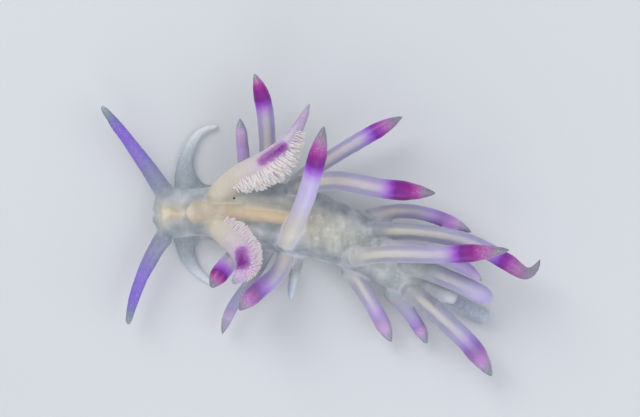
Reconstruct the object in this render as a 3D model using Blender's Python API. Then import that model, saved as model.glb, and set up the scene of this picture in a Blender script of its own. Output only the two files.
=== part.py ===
"""A flabellina nudibranch, the sea slug, crawling on a flat floor at life size.

The head points to -X, the animal's right side to +Y and its back to +Z.
Every size below is in millimetres, and each finished mesh is brought to metres.
"""

import math

import bmesh
import bpy
import numpy as np
from mathutils import Matrix, Vector

MM = 0.001  # metres in a millimetre
GAP = 0.3  # space between two pieces that meet

# The body from nose to tail: place along and across, half width, height of the back
BODY_STATIONS = (
    (-16.7, -0.55, 2.15, 2.9),
    (-14.5, -0.45, 2.50, 3.3),
    (-12.0, -0.35, 2.35, 3.6),
    (-9.5, -0.35, 2.80, 4.1),
    (-7.0, -0.45, 3.20, 4.7),
    (-4.5, -0.75, 3.35, 5.1),
    (-2.0, -1.25, 3.35, 5.3),
    (0.5, -2.05, 3.15, 5.2),
    (3.0, -3.10, 2.95, 4.8),
    (5.5, -4.50, 2.60, 4.1),
    (8.0, -6.20, 2.20, 3.3),
    (10.5, -7.75, 1.65, 2.5),
    (13.0, -9.15, 1.10, 2.0),
    (17.0, -11.15, 0.90, 1.8),
)
NOSE_ROUND = 1.4  # length over which the snout rounds off
TAIL_ROUND = 1.0  # length over which the tail's end rounds off
HEAD_END = 9.0  # distances along the body from the nose
TRUNK_FRONT_END = 13.8
TRUNK_MIDDLE_END = 19.6
TRUNK_END = 28.3
BODY_SIDES = 22
BODY_POWER = 2.3  # 2 is an ellipse, more is fuller at the flanks
BODY_WIDEST = 0.32  # share of the height at which the body is widest
UNDERSIDE_ANGLE = 50.0  # how far the flanks tuck in under the widest line, in degrees
RING_STEP = 0.85  # spacing of the rings along the body
END_RINGS = 6  # rings over a rounded end

# The foot, a thin slab that the trunk rests on
FOOT_HEIGHT = 0.9
FOOT_SHARE = 0.9  # of the body's half width
FOOT_START = 1.9  # distance from the nose
FOOT_FRONT_END = 10.7
FOOT_MIDDLE_END = 19.6
FOOT_POWER = 4.0
FOOT_SIDES = 10
FOOT_WIDEST = 0.45
FOOT_STEP = 1.3

# The mouth at the front of the head
MOUTH_CENTRE = (-16.15, -0.55, 1.75)
LIP_OFFSET = 0.5  # from the mouth's line to the middle of each lip
LIP_RADII = (0.6, 0.5, 0.62)
SLIT_WIDTH = 0.2
SLIT_SIZE = (1.5, 1.15)  # depth and height

# The eyes, small dark beads behind the rhinophores
EYE_RADIUS = 0.25
EYE_DEPTH = 0.05  # of the bead's centre below the skin
EYES = {"eye_right": (-8.5, 1.0), "eye_left": (-8.45, -1.7)}

# The corners of the foot, drawn out and swept back along the floor
CORNER_SIDES = 10
CORNER_STEPS = 12
FOOT_CORNERS = {
    "foot_corner_right": ((-13.1, 2.0), (-13.5, 4.1), (-12.9, 6.2), (-12.0, 7.5), (-10.2, 8.15)),
    "foot_corner_left": ((-13.3, -2.6), (-13.3, -4.5), (-12.5, -6.0), (-11.6, -6.85), (-10.7, -7.5)),
}
CORNER_SHAPE = ((0.0, 1.5, 1.1), (0.25, 0.95, 0.95), (0.6, 0.6, 0.8), (0.85, 0.42, 0.65), (1.0, 0.25, 0.5))

# Round tapered feelers: share of the length and share of the full radius
TENTACLE_SHAPE = ((0.0, 1.1), (0.1, 1.0), (0.5, 0.76), (0.8, 0.6), (0.95, 0.42), (1.0, 0.2))
RHINOPHORE_SHAPE = ((0.0, 1.0), (0.12, 1.0), (0.35, 0.88), (0.7, 0.8), (0.82, 0.62), (1.0, 0.13))
CERAS_SHAPE = ((0.0, 0.8), (0.12, 0.92), (0.45, 1.0), (0.78, 1.0), (0.88, 0.74), (0.95, 0.42), (1.0, 0.12))
FEELER_SIDES = 10
FEELER_STEPS = 12

# The oral tentacles: points along each one, and its radius near the root
ORAL_TENTACLES = {
    "oral_tentacle_right": (((-15.4, 1.5, 2.1), (-18.8, 6.4, 2.7), (-21.7, 10.15, 2.6)), 0.92),
    "oral_tentacle_left": (((-15.4, -2.7, 2.1), (-17.9, -7.3, 2.6), (-19.1, -11.6, 2.4)), 0.88),
}

# The rhinophores, with rows of papillae along the rear side
RHINOPHORES = {
    "rhinophore_right": (
        ((-10.1, 1.2, 3.0), (-7.8, 3.45, 5.2), (-4.7, 5.15, 6.8), (-2.3, 7.75, 7.5), (-1.0, 10.4, 7.6)),
        0.9,
    ),
    "rhinophore_left": (
        ((-10.25, -1.75, 3.0), (-9.1, -2.95, 5.4), (-7.8, -4.75, 8.2), (-7.9, -6.2, 10.4), (-8.7, -7.5, 12.0)),
        0.9,
    ),
}
PAPILLA_RANGE = (0.24, 0.84)  # shares of the length between which papillae grow
PAPILLA_ANGLES = (-66, -33, 0, 33, 66)  # of the rows, from straight back, in degrees
PAPILLAE_PER_ROW = 6
REARWARD = np.array([1.0, 0.0, 0.35])  # the side that they stand on
PAPILLA_LENGTH = 1.5  # from the shaft's surface
PAPILLA_LEAN = 22.0  # towards the tip of the rhinophore, in degrees
PAPILLA_ROOT = 0.35  # where it starts, as a share of the shaft's radius
PAPILLA_SIDES = 5
PAPILLA_SHAPE = ((0.0, 0.3), (0.62, 0.23), (1.0, 0.1))  # share of its length and radius

# The cerata: points along each one, root first, and its radius
CERATA = {
    "ceras_right_1": (((-7.3, 2.3, 2.7), (-7.65, 5.8, 3.2), (-7.93, 9.0, 3.7)), 0.64),
    "ceras_right_2": (((-5.3, 2.1, 2.7), (-5.2, 6.5, 3.8), (-5.55, 10.2, 4.6), (-6.5, 13.4, 5.1)), 0.87),
    "ceras_right_3": (((-2.6, 2.6, 1.9), (0.8, 4.85, 3.0), (5.8, 7.8, 4.1), (8.2, 9.1, 4.4)), 0.83),
    "ceras_right_4": (((-2.9, 1.9, 4.0), (1.2, 2.75, 5.5), (6.3, 1.95, 6.1), (11.5, 1.5, 6.0)), 1.0),
    "ceras_right_5": (((4.4, -1.1, 2.0), (8.6, -0.25, 2.9), (12.2, -1.1, 3.3), (15.1, -2.4, 3.2)), 0.74),
    "ceras_right_6": (
        ((4.9, -2.4, 3.5), (10.8, -2.5, 4.3), (15.0, -3.45, 4.5), (18.5, -5.3, 4.6), (20.6, -6.4, 4.6),
         (21.8, -4.95, 4.7)),
        0.88,
    ),
    "ceras_right_7": (((5.3, -4.0, 4.1), (9.5, -4.05, 5.7), (13.8, -5.5, 5.6), (16.1, -7.3, 4.9)), 0.72),
    "ceras_right_8": (
        ((8.4, -5.3, 3.1), (12.9, -7.05, 4.3), (16.0, -8.5, 4.0), (16.9, -9.0, 3.1)),
        0.95,
    ),
    "ceras_left_1": (((-7.2, -3.4, 2.2), (-8.6, -4.95, 3.7), (-9.7, -6.2, 5.0), (-10.75, -7.9, 6.0)), 0.92),
    "ceras_left_2": (((-4.9, -4.0, 2.0), (-7.0, -7.4, 2.2), (-8.8, -10.0, 2.0), (-9.8, -12.7, 1.7)), 0.6),
    "ceras_left_3": (((-3.5, -3.6, 3.3), (-1.5, 0.8, 7.2), (-0.4, 4.55, 9.4), (0.4, 8.1, 10.6)), 0.95),
    "ceras_left_4": (((-3.3, -4.3, 1.7), (-4.3, -6.6, 3.6), (-6.2, -8.2, 4.7), (-8.1, -10.1, 5.0)), 0.9),
    "ceras_left_5": (((-1.8, -4.4, 1.55), (-2.6, -6.7, 1.4), (-2.95, -9.25, 1.3)), 0.42),
    "ceras_left_6": (((3.1, -4.9, 4.0), (6.2, -4.5, 6.7), (12.2, -4.5, 7.8), (18.7, -4.05, 7.8)), 0.9),
    "ceras_left_7": (((2.8, -5.8, 1.9), (5.1, -9.4, 2.2), (7.15, -13.4, 1.8)), 0.8),
    "ceras_left_8": (((6.75, -8.0, 1.45), (9.5, -11.3, 1.7), (10.7, -13.6, 1.4)), 0.67),
    "ceras_left_9": (((8.8, -8.0, 2.1), (11.75, -10.55, 2.8), (14.9, -13.6, 2.9), (17.05, -16.7, 2.4)), 1.0),
    "ceras_left_10": (((10.4, -7.4, 2.3), (12.0, -8.25, 3.0), (13.5, -9.1, 2.95)), 0.56),
}

# Colour of each finish, linear red, green and blue
SKIN_COLOUR = (0.34, 0.38, 0.40)
FOOT_COLOUR = (0.40, 0.46, 0.50)
CERAS_COLOUR = (0.36, 0.28, 0.62)
FEELER_COLOUR = (0.22, 0.12, 0.58)
RHINOPHORE_COLOUR = (0.50, 0.42, 0.46)
EYE_COLOUR = (0.01, 0.01, 0.015)
SKIN_ROUGHNESS = 0.3
EYE_ROUGHNESS = 0.12


def clear_scene():
    """Removes whatever the scene holds."""
    for thing in list(bpy.data.objects):
        bpy.data.objects.remove(thing, do_unlink=True)


def smooth_through(rows, places):
    """Values on a smooth curve through the rows at the given distances along their first two columns.

    Between two rows it is the cubic whose slope at each row is read from that row's neighbours.
    """
    rows = np.asarray(rows, dtype=float)
    knots = distances_along(rows[:, :2])
    slopes = np.gradient(rows, knots, axis=0, edge_order=2)
    return cubic_between(rows, slopes, knots, places)


def distances_along(points):
    """Distance from the first point to each one, along straight runs."""
    steps = np.linalg.norm(np.diff(points, axis=0), axis=1)
    return np.concatenate([[0.0], np.cumsum(steps)])


def cubic_between(rows, slopes, knots, places):
    """The cubic through neighbouring rows with the slopes given there."""
    places = np.atleast_1d(np.asarray(places, dtype=float))
    left = np.clip(np.searchsorted(knots, places, side="right") - 1, 0, len(knots) - 2)
    span = (knots[left + 1] - knots[left])[:, None]
    t = (places[:, None] - knots[left][:, None]) / span
    start = (1 + 2 * t) * (1 - t) ** 2 * rows[left]
    start_slope = t * (1 - t) ** 2 * span * slopes[left]
    end = t**2 * (3 - 2 * t) * rows[left + 1]
    end_slope = t**2 * (t - 1) * span * slopes[left + 1]
    return start + start_slope + end + end_slope


def feeler_path(points, steps):
    """Evenly spread points on a smooth curve through the given ones."""
    points = np.asarray(points, dtype=float)
    knots = distances_along(points)
    slopes = np.gradient(points, knots, axis=0, edge_order=2)
    return cubic_between(points, slopes, knots, np.linspace(0.0, knots[-1], steps))


def shape_at(shape, shares):
    """Values of a table of shares and sizes, read between its rows."""
    shape = np.asarray(shape, dtype=float)
    return np.stack([np.interp(shares, shape[:, 0], column) for column in shape[:, 1:].T], axis=1)


def section(half_width, top, base, power, widest, sides):
    """Outline of a rounded back over a flat base, as points across and up, right base corner first."""
    low = math.radians(UNDERSIDE_ANGLE)
    angles = np.linspace(-low, math.pi + low, sides)
    middle = base + widest * (top - base)
    across = np.sign(np.cos(angles)) * np.abs(np.cos(angles)) ** (2 / power)
    above = np.abs(np.sin(angles)) ** (2 / power)
    below = np.sin(angles) / math.sin(low)
    up = np.where(angles < 0, below, np.where(angles > math.pi, below, above))
    reach = np.where(up > 0, top - middle, middle - base)
    return np.stack([half_width * across, middle + up * reach], axis=1)


def ring_across(centre, ahead, outline):
    """An outline set upright across a plan direction, at a point of the plan."""
    right = np.array([-ahead[1], ahead[0]])
    plan = centre + outline[:, :1] * right
    return np.concatenate([plan, outline[:, 1:]], axis=1)


def body_row(place):
    """Plan point, direction, half width and back height at a distance from the nose."""
    here = smooth_through(BODY_STATIONS, place)[0]
    near = smooth_through(BODY_STATIONS, [place - 0.05, place + 0.05])
    ahead = near[1, :2] - near[0, :2]
    return here[:2], ahead / np.linalg.norm(ahead), here[2], here[3]


def body_length():
    """Length of the body's middle line in plan."""
    return distances_along(np.array(BODY_STATIONS)[:, :2])[-1]


def rounding(distance, length):
    """Share of the full size at a distance from a rounded end."""
    left = 1 - min(max(distance / length, 0.0), 1.0)
    return math.sqrt(1 - left**2)


def end_places(end, length, steps, inward):
    """Places that close in on a rounded end, from its tip inward."""
    turns = np.linspace(0.16, 1.0, steps) * math.pi / 2
    return [end + inward * length * (1 - math.cos(turn)) for turn in turns]


def body_ring(place, grow=0.0):
    """Ring of the body at a distance from the nose, made larger all round by grow."""
    centre, ahead, half_width, top = body_row(place)
    base_share = rounding(place + grow, NOSE_ROUND + grow)
    share = base_share * rounding(body_length() + grow - place, TAIL_ROUND + grow)
    base = 0.0 if place > TRUNK_END else FOOT_HEIGHT + GAP
    middle = base + BODY_WIDEST * (top - base)
    outline = section(
        half_width * share + grow,
        middle + (top - middle) * share + grow,
        middle - (middle - base) * base_share - grow,
        BODY_POWER,
        BODY_WIDEST,
        BODY_SIDES,
    )
    return ring_across(centre, ahead, outline)


def back_height(place, offset):
    """Height of the back at a distance from the nose and an offset from the middle line."""
    _, _, half_width, top = body_row(place)
    base = FOOT_HEIGHT + GAP
    middle = base + BODY_WIDEST * (top - base)
    fullness = max(1 - abs(offset / half_width) ** BODY_POWER, 0.0)
    return middle + (top - middle) * fullness ** (1 / BODY_POWER)


def places_between(start, end, step):
    """Evenly spread distances from start to end, about a step apart."""
    return list(np.linspace(start, end, max(2, round((end - start) / step) + 1)))


def skin_rings(bm, rings):
    """Joins neighbouring rings with faces and closes both ends."""
    loops = [[bm.verts.new(point) for point in ring] for ring in rings]
    count = len(loops[0])
    for near, far in zip(loops, loops[1:]):
        for side in range(count):
            after = (side + 1) % count
            bm.faces.new((near[side], near[after], far[after], far[side]))
    bm.faces.new(list(reversed(loops[0])))
    bm.faces.new(loops[-1])


def loft(name, rings):
    """A closed mesh object through a run of rings, in millimetres."""
    bm = bmesh.new()
    skin_rings(bm, rings)
    bmesh.ops.recalc_face_normals(bm, faces=bm.faces)
    bmesh.ops.triangulate(bm, faces=bm.faces)
    return new_object(name, bm)


def new_object(name, bm):
    """Puts a bmesh into a new object of the scene."""
    mesh = bpy.data.meshes.new(name)
    bm.to_mesh(mesh)
    bm.free()
    thing = bpy.data.objects.new(name, mesh)
    bpy.context.scene.collection.objects.link(thing)
    return thing


def tube_rings(path, radii, sides):
    """Round rings along a path, turned as little as possible from one to the next."""
    ahead = np.gradient(path, axis=0)
    ahead /= np.linalg.norm(ahead, axis=1)[:, None]
    across = np.cross(ahead[0], (0.0, 0.0, 1.0))
    across /= np.linalg.norm(across)
    turns = np.linspace(0.0, 2 * math.pi, sides, endpoint=False)
    rings = []
    for centre, direction, radius in zip(path, ahead, radii):
        across = across - direction * np.dot(across, direction)
        across /= np.linalg.norm(across)
        upward = np.cross(direction, across)
        spokes = np.outer(np.cos(turns), across) + np.outer(np.sin(turns), upward)
        rings.append(centre + radius * spokes)
    return rings


def feeler(name, points, radius, shape):
    """A round tapered feeler along a smooth curve."""
    path = feeler_path(points, FEELER_STEPS)
    shares = np.linspace(0.0, 1.0, FEELER_STEPS)
    radii = radius * shape_at(shape, shares)[:, 0]
    return loft(name, tube_rings(path, radii, FEELER_SIDES))


def evaluated_copy(thing):
    """The object's mesh with its modifiers applied, in place of its own."""
    graph = bpy.context.evaluated_depsgraph_get()
    mesh = bpy.data.meshes.new_from_object(thing.evaluated_get(graph))
    thing.modifiers.clear()
    thing.data = mesh
    keep_largest(thing)


def keep_largest(thing):
    """Drops every loose scrap but the largest closed surface."""
    bm = bmesh.new()
    bm.from_mesh(thing.data)
    bmesh.ops.remove_doubles(bm, verts=bm.verts, dist=0.004)
    bmesh.ops.dissolve_degenerate(bm, edges=bm.edges, dist=0.004)
    left = set(bm.faces)
    shells = []
    while left:
        shell = {left.pop()}
        edge_of = list(shell)
        while edge_of:
            face = edge_of.pop()
            for edge in face.edges:
                for other in edge.link_faces:
                    if other in left:
                        left.remove(other)
                        shell.add(other)
                        edge_of.append(other)
        shells.append(shell)
    shells.sort(key=lambda shell: sum(face.calc_area() for face in shell))
    scraps = [face for shell in shells[:-1] for face in shell]
    bmesh.ops.delete(bm, geom=scraps, context="FACES")
    bmesh.ops.triangulate(bm, faces=bm.faces)
    bm.to_mesh(thing.data)
    bm.free()


def boolean(thing, operation, tool=None, group=None):
    """Applies one exact Boolean with an object or with a collection of them."""
    step = thing.modifiers.new(operation.lower(), "BOOLEAN")
    step.operation = operation
    step.solver = "EXACT"
    if group:
        step.operand_type = "COLLECTION"
        step.collection = group
    else:
        step.object = tool
    evaluated_copy(thing)


def fuse(thing, pieces):
    """Joins closed pieces to an object and removes them."""
    group = bpy.data.collections.new("pieces")
    bpy.context.scene.collection.children.link(group)
    for piece in pieces:
        group.objects.link(piece)
    boolean(thing, "UNION", group=group)
    for piece in pieces:
        bpy.data.objects.remove(piece, do_unlink=True)
    bpy.data.collections.remove(group)


def ball(name, centre, radii):
    """A round bead or swelling."""
    bm = bmesh.new()
    bmesh.ops.create_icosphere(bm, subdivisions=2, radius=1.0)
    bmesh.ops.scale(bm, vec=radii, verts=bm.verts)
    bmesh.ops.translate(bm, vec=centre, verts=bm.verts)
    return new_object(name, bm)


def block(name, centre, size):
    """A plain box, used to cut a slit."""
    bm = bmesh.new()
    bmesh.ops.create_cube(bm, size=1.0)
    bmesh.ops.scale(bm, vec=size, verts=bm.verts)
    bmesh.ops.translate(bm, vec=centre, verts=bm.verts)
    return new_object(name, bm)


def finish_of(name, colour, roughness):
    """A Principled material."""
    material = bpy.data.materials.new(name)
    material.use_nodes = True
    shader = material.node_tree.nodes["Principled BSDF"]
    shader.inputs["Base Color"].default_value = (*colour, 1.0)
    shader.inputs["Roughness"].default_value = roughness
    shader.inputs["Metallic"].default_value = 0.0
    return material


def settle(thing, pivot, parent, colour, roughness=SKIN_ROUGHNESS):
    """Gives a finished piece its material, its origin and its size in metres."""
    thing.data.transform(Matrix.Translation(-Vector(pivot)))
    thing.data.transform(Matrix.Scale(MM, 4))
    thing.location = Vector(pivot) * MM
    thing.parent = parent
    thing.data.materials.clear()
    thing.data.materials.append(finish_of(thing.name, colour, roughness))
    thing.data.shade_smooth()
    thing.data.set_sharp_from_angle(angle=math.radians(50))


def make_cutters():
    """The body and the foot, larger by the gap, that trim what grows from them."""
    length = body_length()
    places = end_places(-GAP, NOSE_ROUND + GAP, END_RINGS, 1)
    places += places_between(NOSE_ROUND + RING_STEP, TRUNK_END, RING_STEP)
    places += places_between(TRUNK_END + GAP, length - TAIL_ROUND - RING_STEP, RING_STEP)
    places += reversed(end_places(length + GAP, TAIL_ROUND + GAP, END_RINGS, -1))
    body = loft("body_cutter", [body_ring(place, GAP) for place in places])
    foot_places = places_between(FOOT_START - GAP, TRUNK_END, FOOT_STEP)
    foot = loft("foot_cutter", [foot_ring(place, GAP) for place in foot_places])
    for cutter in (body, foot):
        cutter.hide_render = True
        cutter.display_type = "WIRE"
    return body, foot


def make_body(parent):
    """The head, the trunk in three lengths and the tail, parted by thin cuts."""
    length = body_length()
    head_places = end_places(0.0, NOSE_ROUND, END_RINGS, 1)
    head_places += places_between(NOSE_ROUND + RING_STEP, HEAD_END, RING_STEP)
    lengths = {
        "head": head_places,
        "trunk_front": places_between(HEAD_END + GAP, TRUNK_FRONT_END, RING_STEP),
        "trunk_middle": places_between(TRUNK_FRONT_END + GAP, TRUNK_MIDDLE_END, RING_STEP),
        "trunk_rear": places_between(TRUNK_MIDDLE_END + GAP, TRUNK_END, RING_STEP),
        "tail": places_between(TRUNK_END + GAP, length - TAIL_ROUND - RING_STEP, RING_STEP)
        + list(reversed(end_places(length, TAIL_ROUND, END_RINGS, -1))),
    }
    pieces = {}
    for name, places in lengths.items():
        pieces[name] = loft(name, [body_ring(place) for place in places])
    shape_mouth(pieces["head"])
    make_eyes(pieces["head"], parent)
    for name, piece in pieces.items():
        centre = body_row(lengths[name][0])[0]
        settle(piece, (*centre, FOOT_HEIGHT), parent, SKIN_COLOUR)


def shape_mouth(head):
    """Two lips with the slit of the mouth between them."""
    x, y, z = MOUTH_CENTRE
    lips = [ball("lip", (x, y + side * LIP_OFFSET, z), LIP_RADII) for side in (-1, 1)]
    fuse(head, lips)
    depth, height = SLIT_SIZE
    slit = block("slit", (x - depth / 2 + 0.1, y, z), (depth, SLIT_WIDTH, height))
    boolean(head, "DIFFERENCE", tool=slit)
    bpy.data.objects.remove(slit, do_unlink=True)


def make_eyes(head, parent):
    """A bead in a socket of the head for each eye."""
    for name, (x, y) in EYES.items():
        place = x - BODY_STATIONS[0][0]
        middle = body_row(place)[0][1]
        centre = (x, y, back_height(place, y - middle) - EYE_DEPTH)
        socket = ball("socket", centre, (EYE_RADIUS + GAP,) * 3)
        boolean(head, "DIFFERENCE", tool=socket)
        bpy.data.objects.remove(socket, do_unlink=True)
        settle(ball(name, centre, (EYE_RADIUS,) * 3), centre, parent, EYE_COLOUR, EYE_ROUGHNESS)


def foot_ring(place, grow=0.0):
    """Ring of the foot's slab at a distance from the nose."""
    centre, ahead, half_width, _ = body_row(place)
    outline = section(
        half_width * FOOT_SHARE + grow,
        FOOT_HEIGHT + grow,
        -grow,
        FOOT_POWER,
        FOOT_WIDEST,
        FOOT_SIDES,
    )
    return ring_across(centre, ahead, outline)


def make_foot(parent):
    """The sole in three lengths."""
    lengths = {
        "foot_front": (FOOT_START, FOOT_FRONT_END),
        "foot_middle": (FOOT_FRONT_END + GAP, FOOT_MIDDLE_END),
        "foot_rear": (FOOT_MIDDLE_END + GAP, TRUNK_END),
    }
    for name, (start, end) in lengths.items():
        places = places_between(start, end, FOOT_STEP)
        piece = loft(name, [foot_ring(place) for place in places])
        settle(piece, (*body_row(start)[0], 0.0), parent, FOOT_COLOUR)


def make_foot_corners(parent, cutters):
    """The drawn-out corners, flat on the floor."""
    for name, points in FOOT_CORNERS.items():
        path = feeler_path(points, CORNER_STEPS)
        shares = np.linspace(0.0, 1.0, CORNER_STEPS)
        sizes = shape_at(CORNER_SHAPE, shares)
        ahead = np.gradient(path, axis=0)
        ahead /= np.linalg.norm(ahead, axis=1)[:, None]
        rings = [
            ring_across(centre, way, section(wide, tall, 0.0, 2.0, 0.4, CORNER_SIDES))
            for centre, way, (wide, tall) in zip(path, ahead, sizes)
        ]
        corner = loft(name, rings)
        for cutter in cutters:
            boolean(corner, "DIFFERENCE", tool=cutter)
        settle(corner, (*points[0], 0.0), parent, FOOT_COLOUR)


def make_feelers(parent, body_cutter):
    """The oral tentacles and the cerata, trimmed to the skin they grow from."""
    for table, shape, colour in (
        (ORAL_TENTACLES, TENTACLE_SHAPE, FEELER_COLOUR),
        (CERATA, CERAS_SHAPE, CERAS_COLOUR),
    ):
        for name, (points, radius) in table.items():
            piece = feeler(name, points, radius, shape)
            boolean(piece, "DIFFERENCE", tool=body_cutter)
            settle(piece, points[0], parent, colour)


def papilla(name, root, direction, length):
    """One tapered papilla that leans a little towards the rhinophore's tip."""
    across = np.cross(direction, (0.3, 0.2, 0.93))
    across /= np.linalg.norm(across)
    aside = np.cross(direction, across)
    turns = np.linspace(0.0, 2 * math.pi, PAPILLA_SIDES, endpoint=False)
    spokes = np.outer(np.cos(turns), across) + np.outer(np.sin(turns), aside)
    rings = [root + direction * share * length + radius * spokes for share, radius in PAPILLA_SHAPE]
    return loft(name, rings)


def papillae(path, radii, seed):
    """The rows of papillae on the rear side of a rhinophore, as separate pieces."""
    draw = np.random.default_rng(seed)
    ahead = np.gradient(path, axis=0)
    shares = np.linspace(0.0, 1.0, len(path))
    pieces = []
    for row, angle in enumerate(PAPILLA_ANGLES):
        offset = (row % 2) * 0.5
        for number in range(PAPILLAE_PER_ROW):
            along = (number + offset + draw.uniform(-0.15, 0.15)) / (PAPILLAE_PER_ROW - 0.5)
            share = PAPILLA_RANGE[0] + (PAPILLA_RANGE[1] - PAPILLA_RANGE[0]) * along
            centre = np.array([np.interp(share, shares, column) for column in path.T])
            direction = np.array([np.interp(share, shares, column) for column in ahead.T])
            direction /= np.linalg.norm(direction)
            radius = np.interp(share, shares, radii)
            rearward = REARWARD - direction * np.dot(REARWARD, direction)
            rearward /= np.linalg.norm(rearward)
            aside = np.cross(direction, rearward)
            turn = math.radians(angle + draw.uniform(-8, 8))
            outward = math.cos(turn) * rearward + math.sin(turn) * aside
            lean = math.radians(PAPILLA_LEAN + draw.uniform(-10, 10))
            out = math.cos(lean) * outward + math.sin(lean) * direction
            length = PAPILLA_LENGTH * draw.uniform(0.8, 1.15) * math.sin(math.pi * (0.2 + 0.6 * along))
            root = centre + outward * radius * PAPILLA_ROOT
            pieces.append(papilla(f"papilla_{row}_{number}", root, out, length + radius * (1 - PAPILLA_ROOT)))
    return pieces


def make_rhinophores(parent, body_cutter):
    """The two rhinophores, each with its papillae fused to the shaft."""
    for seed, (name, (points, radius)) in enumerate(RHINOPHORES.items()):
        path = feeler_path(points, FEELER_STEPS)
        radii = radius * shape_at(RHINOPHORE_SHAPE, np.linspace(0.0, 1.0, FEELER_STEPS))[:, 0]
        shaft = loft(name, tube_rings(path, radii, FEELER_SIDES))
        fuse(shaft, papillae(path, radii, seed))
        boolean(shaft, "DIFFERENCE", tool=body_cutter)
        settle(shaft, points[0], parent, RHINOPHORE_COLOUR)


def centre_on_floor(parent):
    """Moves the whole animal so that the middle of its box stands on the origin."""
    bpy.context.view_layer.update()
    corners = np.array(
        [thing.matrix_world @ vertex.co for thing in parent.children for vertex in thing.data.vertices]
    )
    middle = (corners.min(axis=0) + corners.max(axis=0)) / 2
    parent.location = (-middle[0], -middle[1], 0.0)
    bpy.context.view_layer.update()


clear_scene()
animal = bpy.data.objects.new("nudibranch", None)
bpy.context.scene.collection.objects.link(animal)
cutter_body, cutter_foot = make_cutters()
make_body(animal)
make_foot(animal)
make_foot_corners(animal, (cutter_body, cutter_foot))
make_feelers(animal, cutter_body)
make_rhinophores(animal, cutter_body)
for cutter_thing in (cutter_body, cutter_foot):
    bpy.data.objects.remove(cutter_thing, do_unlink=True)
centre_on_floor(animal)
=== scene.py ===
import math
from functools import partial, reduce
from types import SimpleNamespace

import bpy
import numpy as np
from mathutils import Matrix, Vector


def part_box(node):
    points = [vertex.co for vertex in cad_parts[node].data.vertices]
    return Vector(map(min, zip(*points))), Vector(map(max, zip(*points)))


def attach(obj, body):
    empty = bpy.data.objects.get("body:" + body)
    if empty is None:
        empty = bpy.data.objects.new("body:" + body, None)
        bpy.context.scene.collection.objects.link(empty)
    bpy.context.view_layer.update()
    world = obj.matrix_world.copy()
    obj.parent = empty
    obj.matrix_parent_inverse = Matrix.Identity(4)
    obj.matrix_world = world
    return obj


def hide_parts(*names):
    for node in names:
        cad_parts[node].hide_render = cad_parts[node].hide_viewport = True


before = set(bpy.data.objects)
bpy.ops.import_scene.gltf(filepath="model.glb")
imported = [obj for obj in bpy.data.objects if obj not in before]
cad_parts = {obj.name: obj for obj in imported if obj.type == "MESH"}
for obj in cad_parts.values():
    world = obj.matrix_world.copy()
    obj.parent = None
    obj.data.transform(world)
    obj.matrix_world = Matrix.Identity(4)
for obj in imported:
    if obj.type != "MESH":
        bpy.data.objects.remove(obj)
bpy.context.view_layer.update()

# Shapes are worked out in millimetres on the plan of the animal: head to -x, its right side to +y, back to +z.
# rowShift carries the plan to the frame's own origin, read from where one eye sits.
mm = 0.001
eyeInPlan = np.array([-8.5, 1.0])
eyeCorners = [np.array(corner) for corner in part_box("eye_right")]
rowShift = np.append((eyeCorners[0] + eyeCorners[1])[:2] / 2 / mm - eyeInPlan, 0.0)

body = {
    # place along, place across, half width, height of the back
    "stations": (
        (-16.7, -0.55, 2.15, 2.9), (-14.5, -0.45, 2.50, 3.3), (-12.0, -0.35, 2.35, 3.6),
        (-9.5, -0.35, 2.80, 4.1), (-7.0, -0.45, 3.20, 4.7), (-4.5, -0.75, 3.35, 5.1),
        (-2.0, -1.25, 3.35, 5.3), (0.5, -2.05, 3.15, 5.2), (3.0, -3.10, 2.95, 4.8), (5.5, -4.50, 2.60, 4.1),
        (8.0, -6.20, 2.20, 3.3), (10.5, -7.75, 1.65, 2.5), (13.0, -9.15, 1.10, 2.0), (17.0, -11.15, 0.90, 1.8),
    ),
    "noseRound": 1.4,
    "tailRound": 1.0,
    "fullness": 2.3,  # 2 is an ellipse, more is fuller at the flanks
    "widest": 0.32,  # share of the height at which the flanks reach out most
    "tuck": 50.0,  # how far the flanks turn in below that, in degrees
    "base": 0.75,  # where the trunk sinks into the foot
    "baseEnd": (27.5, 29.5),  # distances from the nose between which it comes down to the floor
    "ringRange": (0.05, 0.985),  # shares of a half turn that the rings are spread over, closest at the ends
    "rings": 130,
    "sides": 60,
}
foot = {
    "height": 0.9,
    "share": 0.9,  # of the trunk's width
    "fullness": 4.0,
    "widest": 0.45,
    "start": 1.9,  # distances from the nose
    "end": 33.0,
    "frontRound": (0.3, 1.2),  # how far into its rounding it starts, and the rounding's length
    "rearRound": (0.2, 1.5),
    "rearShare": 0.25,  # share of the width that the rounding leaves
    "rings": 90,
    "sides": 40,
}
corners = {
    "shape": ((0.0, 1.5, 1.1), (0.25, 0.95, 0.95), (0.6, 0.6, 0.8), (0.85, 0.42, 0.65), (1.0, 0.25, 0.5)),
    "right": ((-13.1, 2.0, 0), (-13.5, 4.1, 0), (-12.9, 6.2, 0), (-12.0, 7.5, 0), (-10.2, 8.15, 0)),
    "left": ((-13.3, -2.6, 0), (-13.3, -4.5, 0), (-12.5, -6.0, 0), (-11.6, -6.85, 0), (-10.7, -7.5, 0)),
    "webs": {  # where the rear edge of each corner runs on into the edge of the foot
        "right": ((-13.35, 4.2, 0), (-12.85, 2.75, 0), (-11.7, 1.85, 0), (-10.3, 1.75, 0), (-8.8, 2.0, 0)),
        "left": ((-13.2, -4.5, 0), (-12.8, -3.4, 0), (-11.9, -2.6, 0), (-10.8, -2.45, 0), (-9.6, -2.6, 0)),
    },
    "webSizes": ((0.0, 0.5, 0.7), (0.3, 0.66, 0.85), (1.0, 0.66, 0.85)),
}
whip = ((0.0, 1.1), (0.1, 1.0), (0.5, 0.76), (0.8, 0.6), (0.95, 0.42), (1.0, 0.2))
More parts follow.
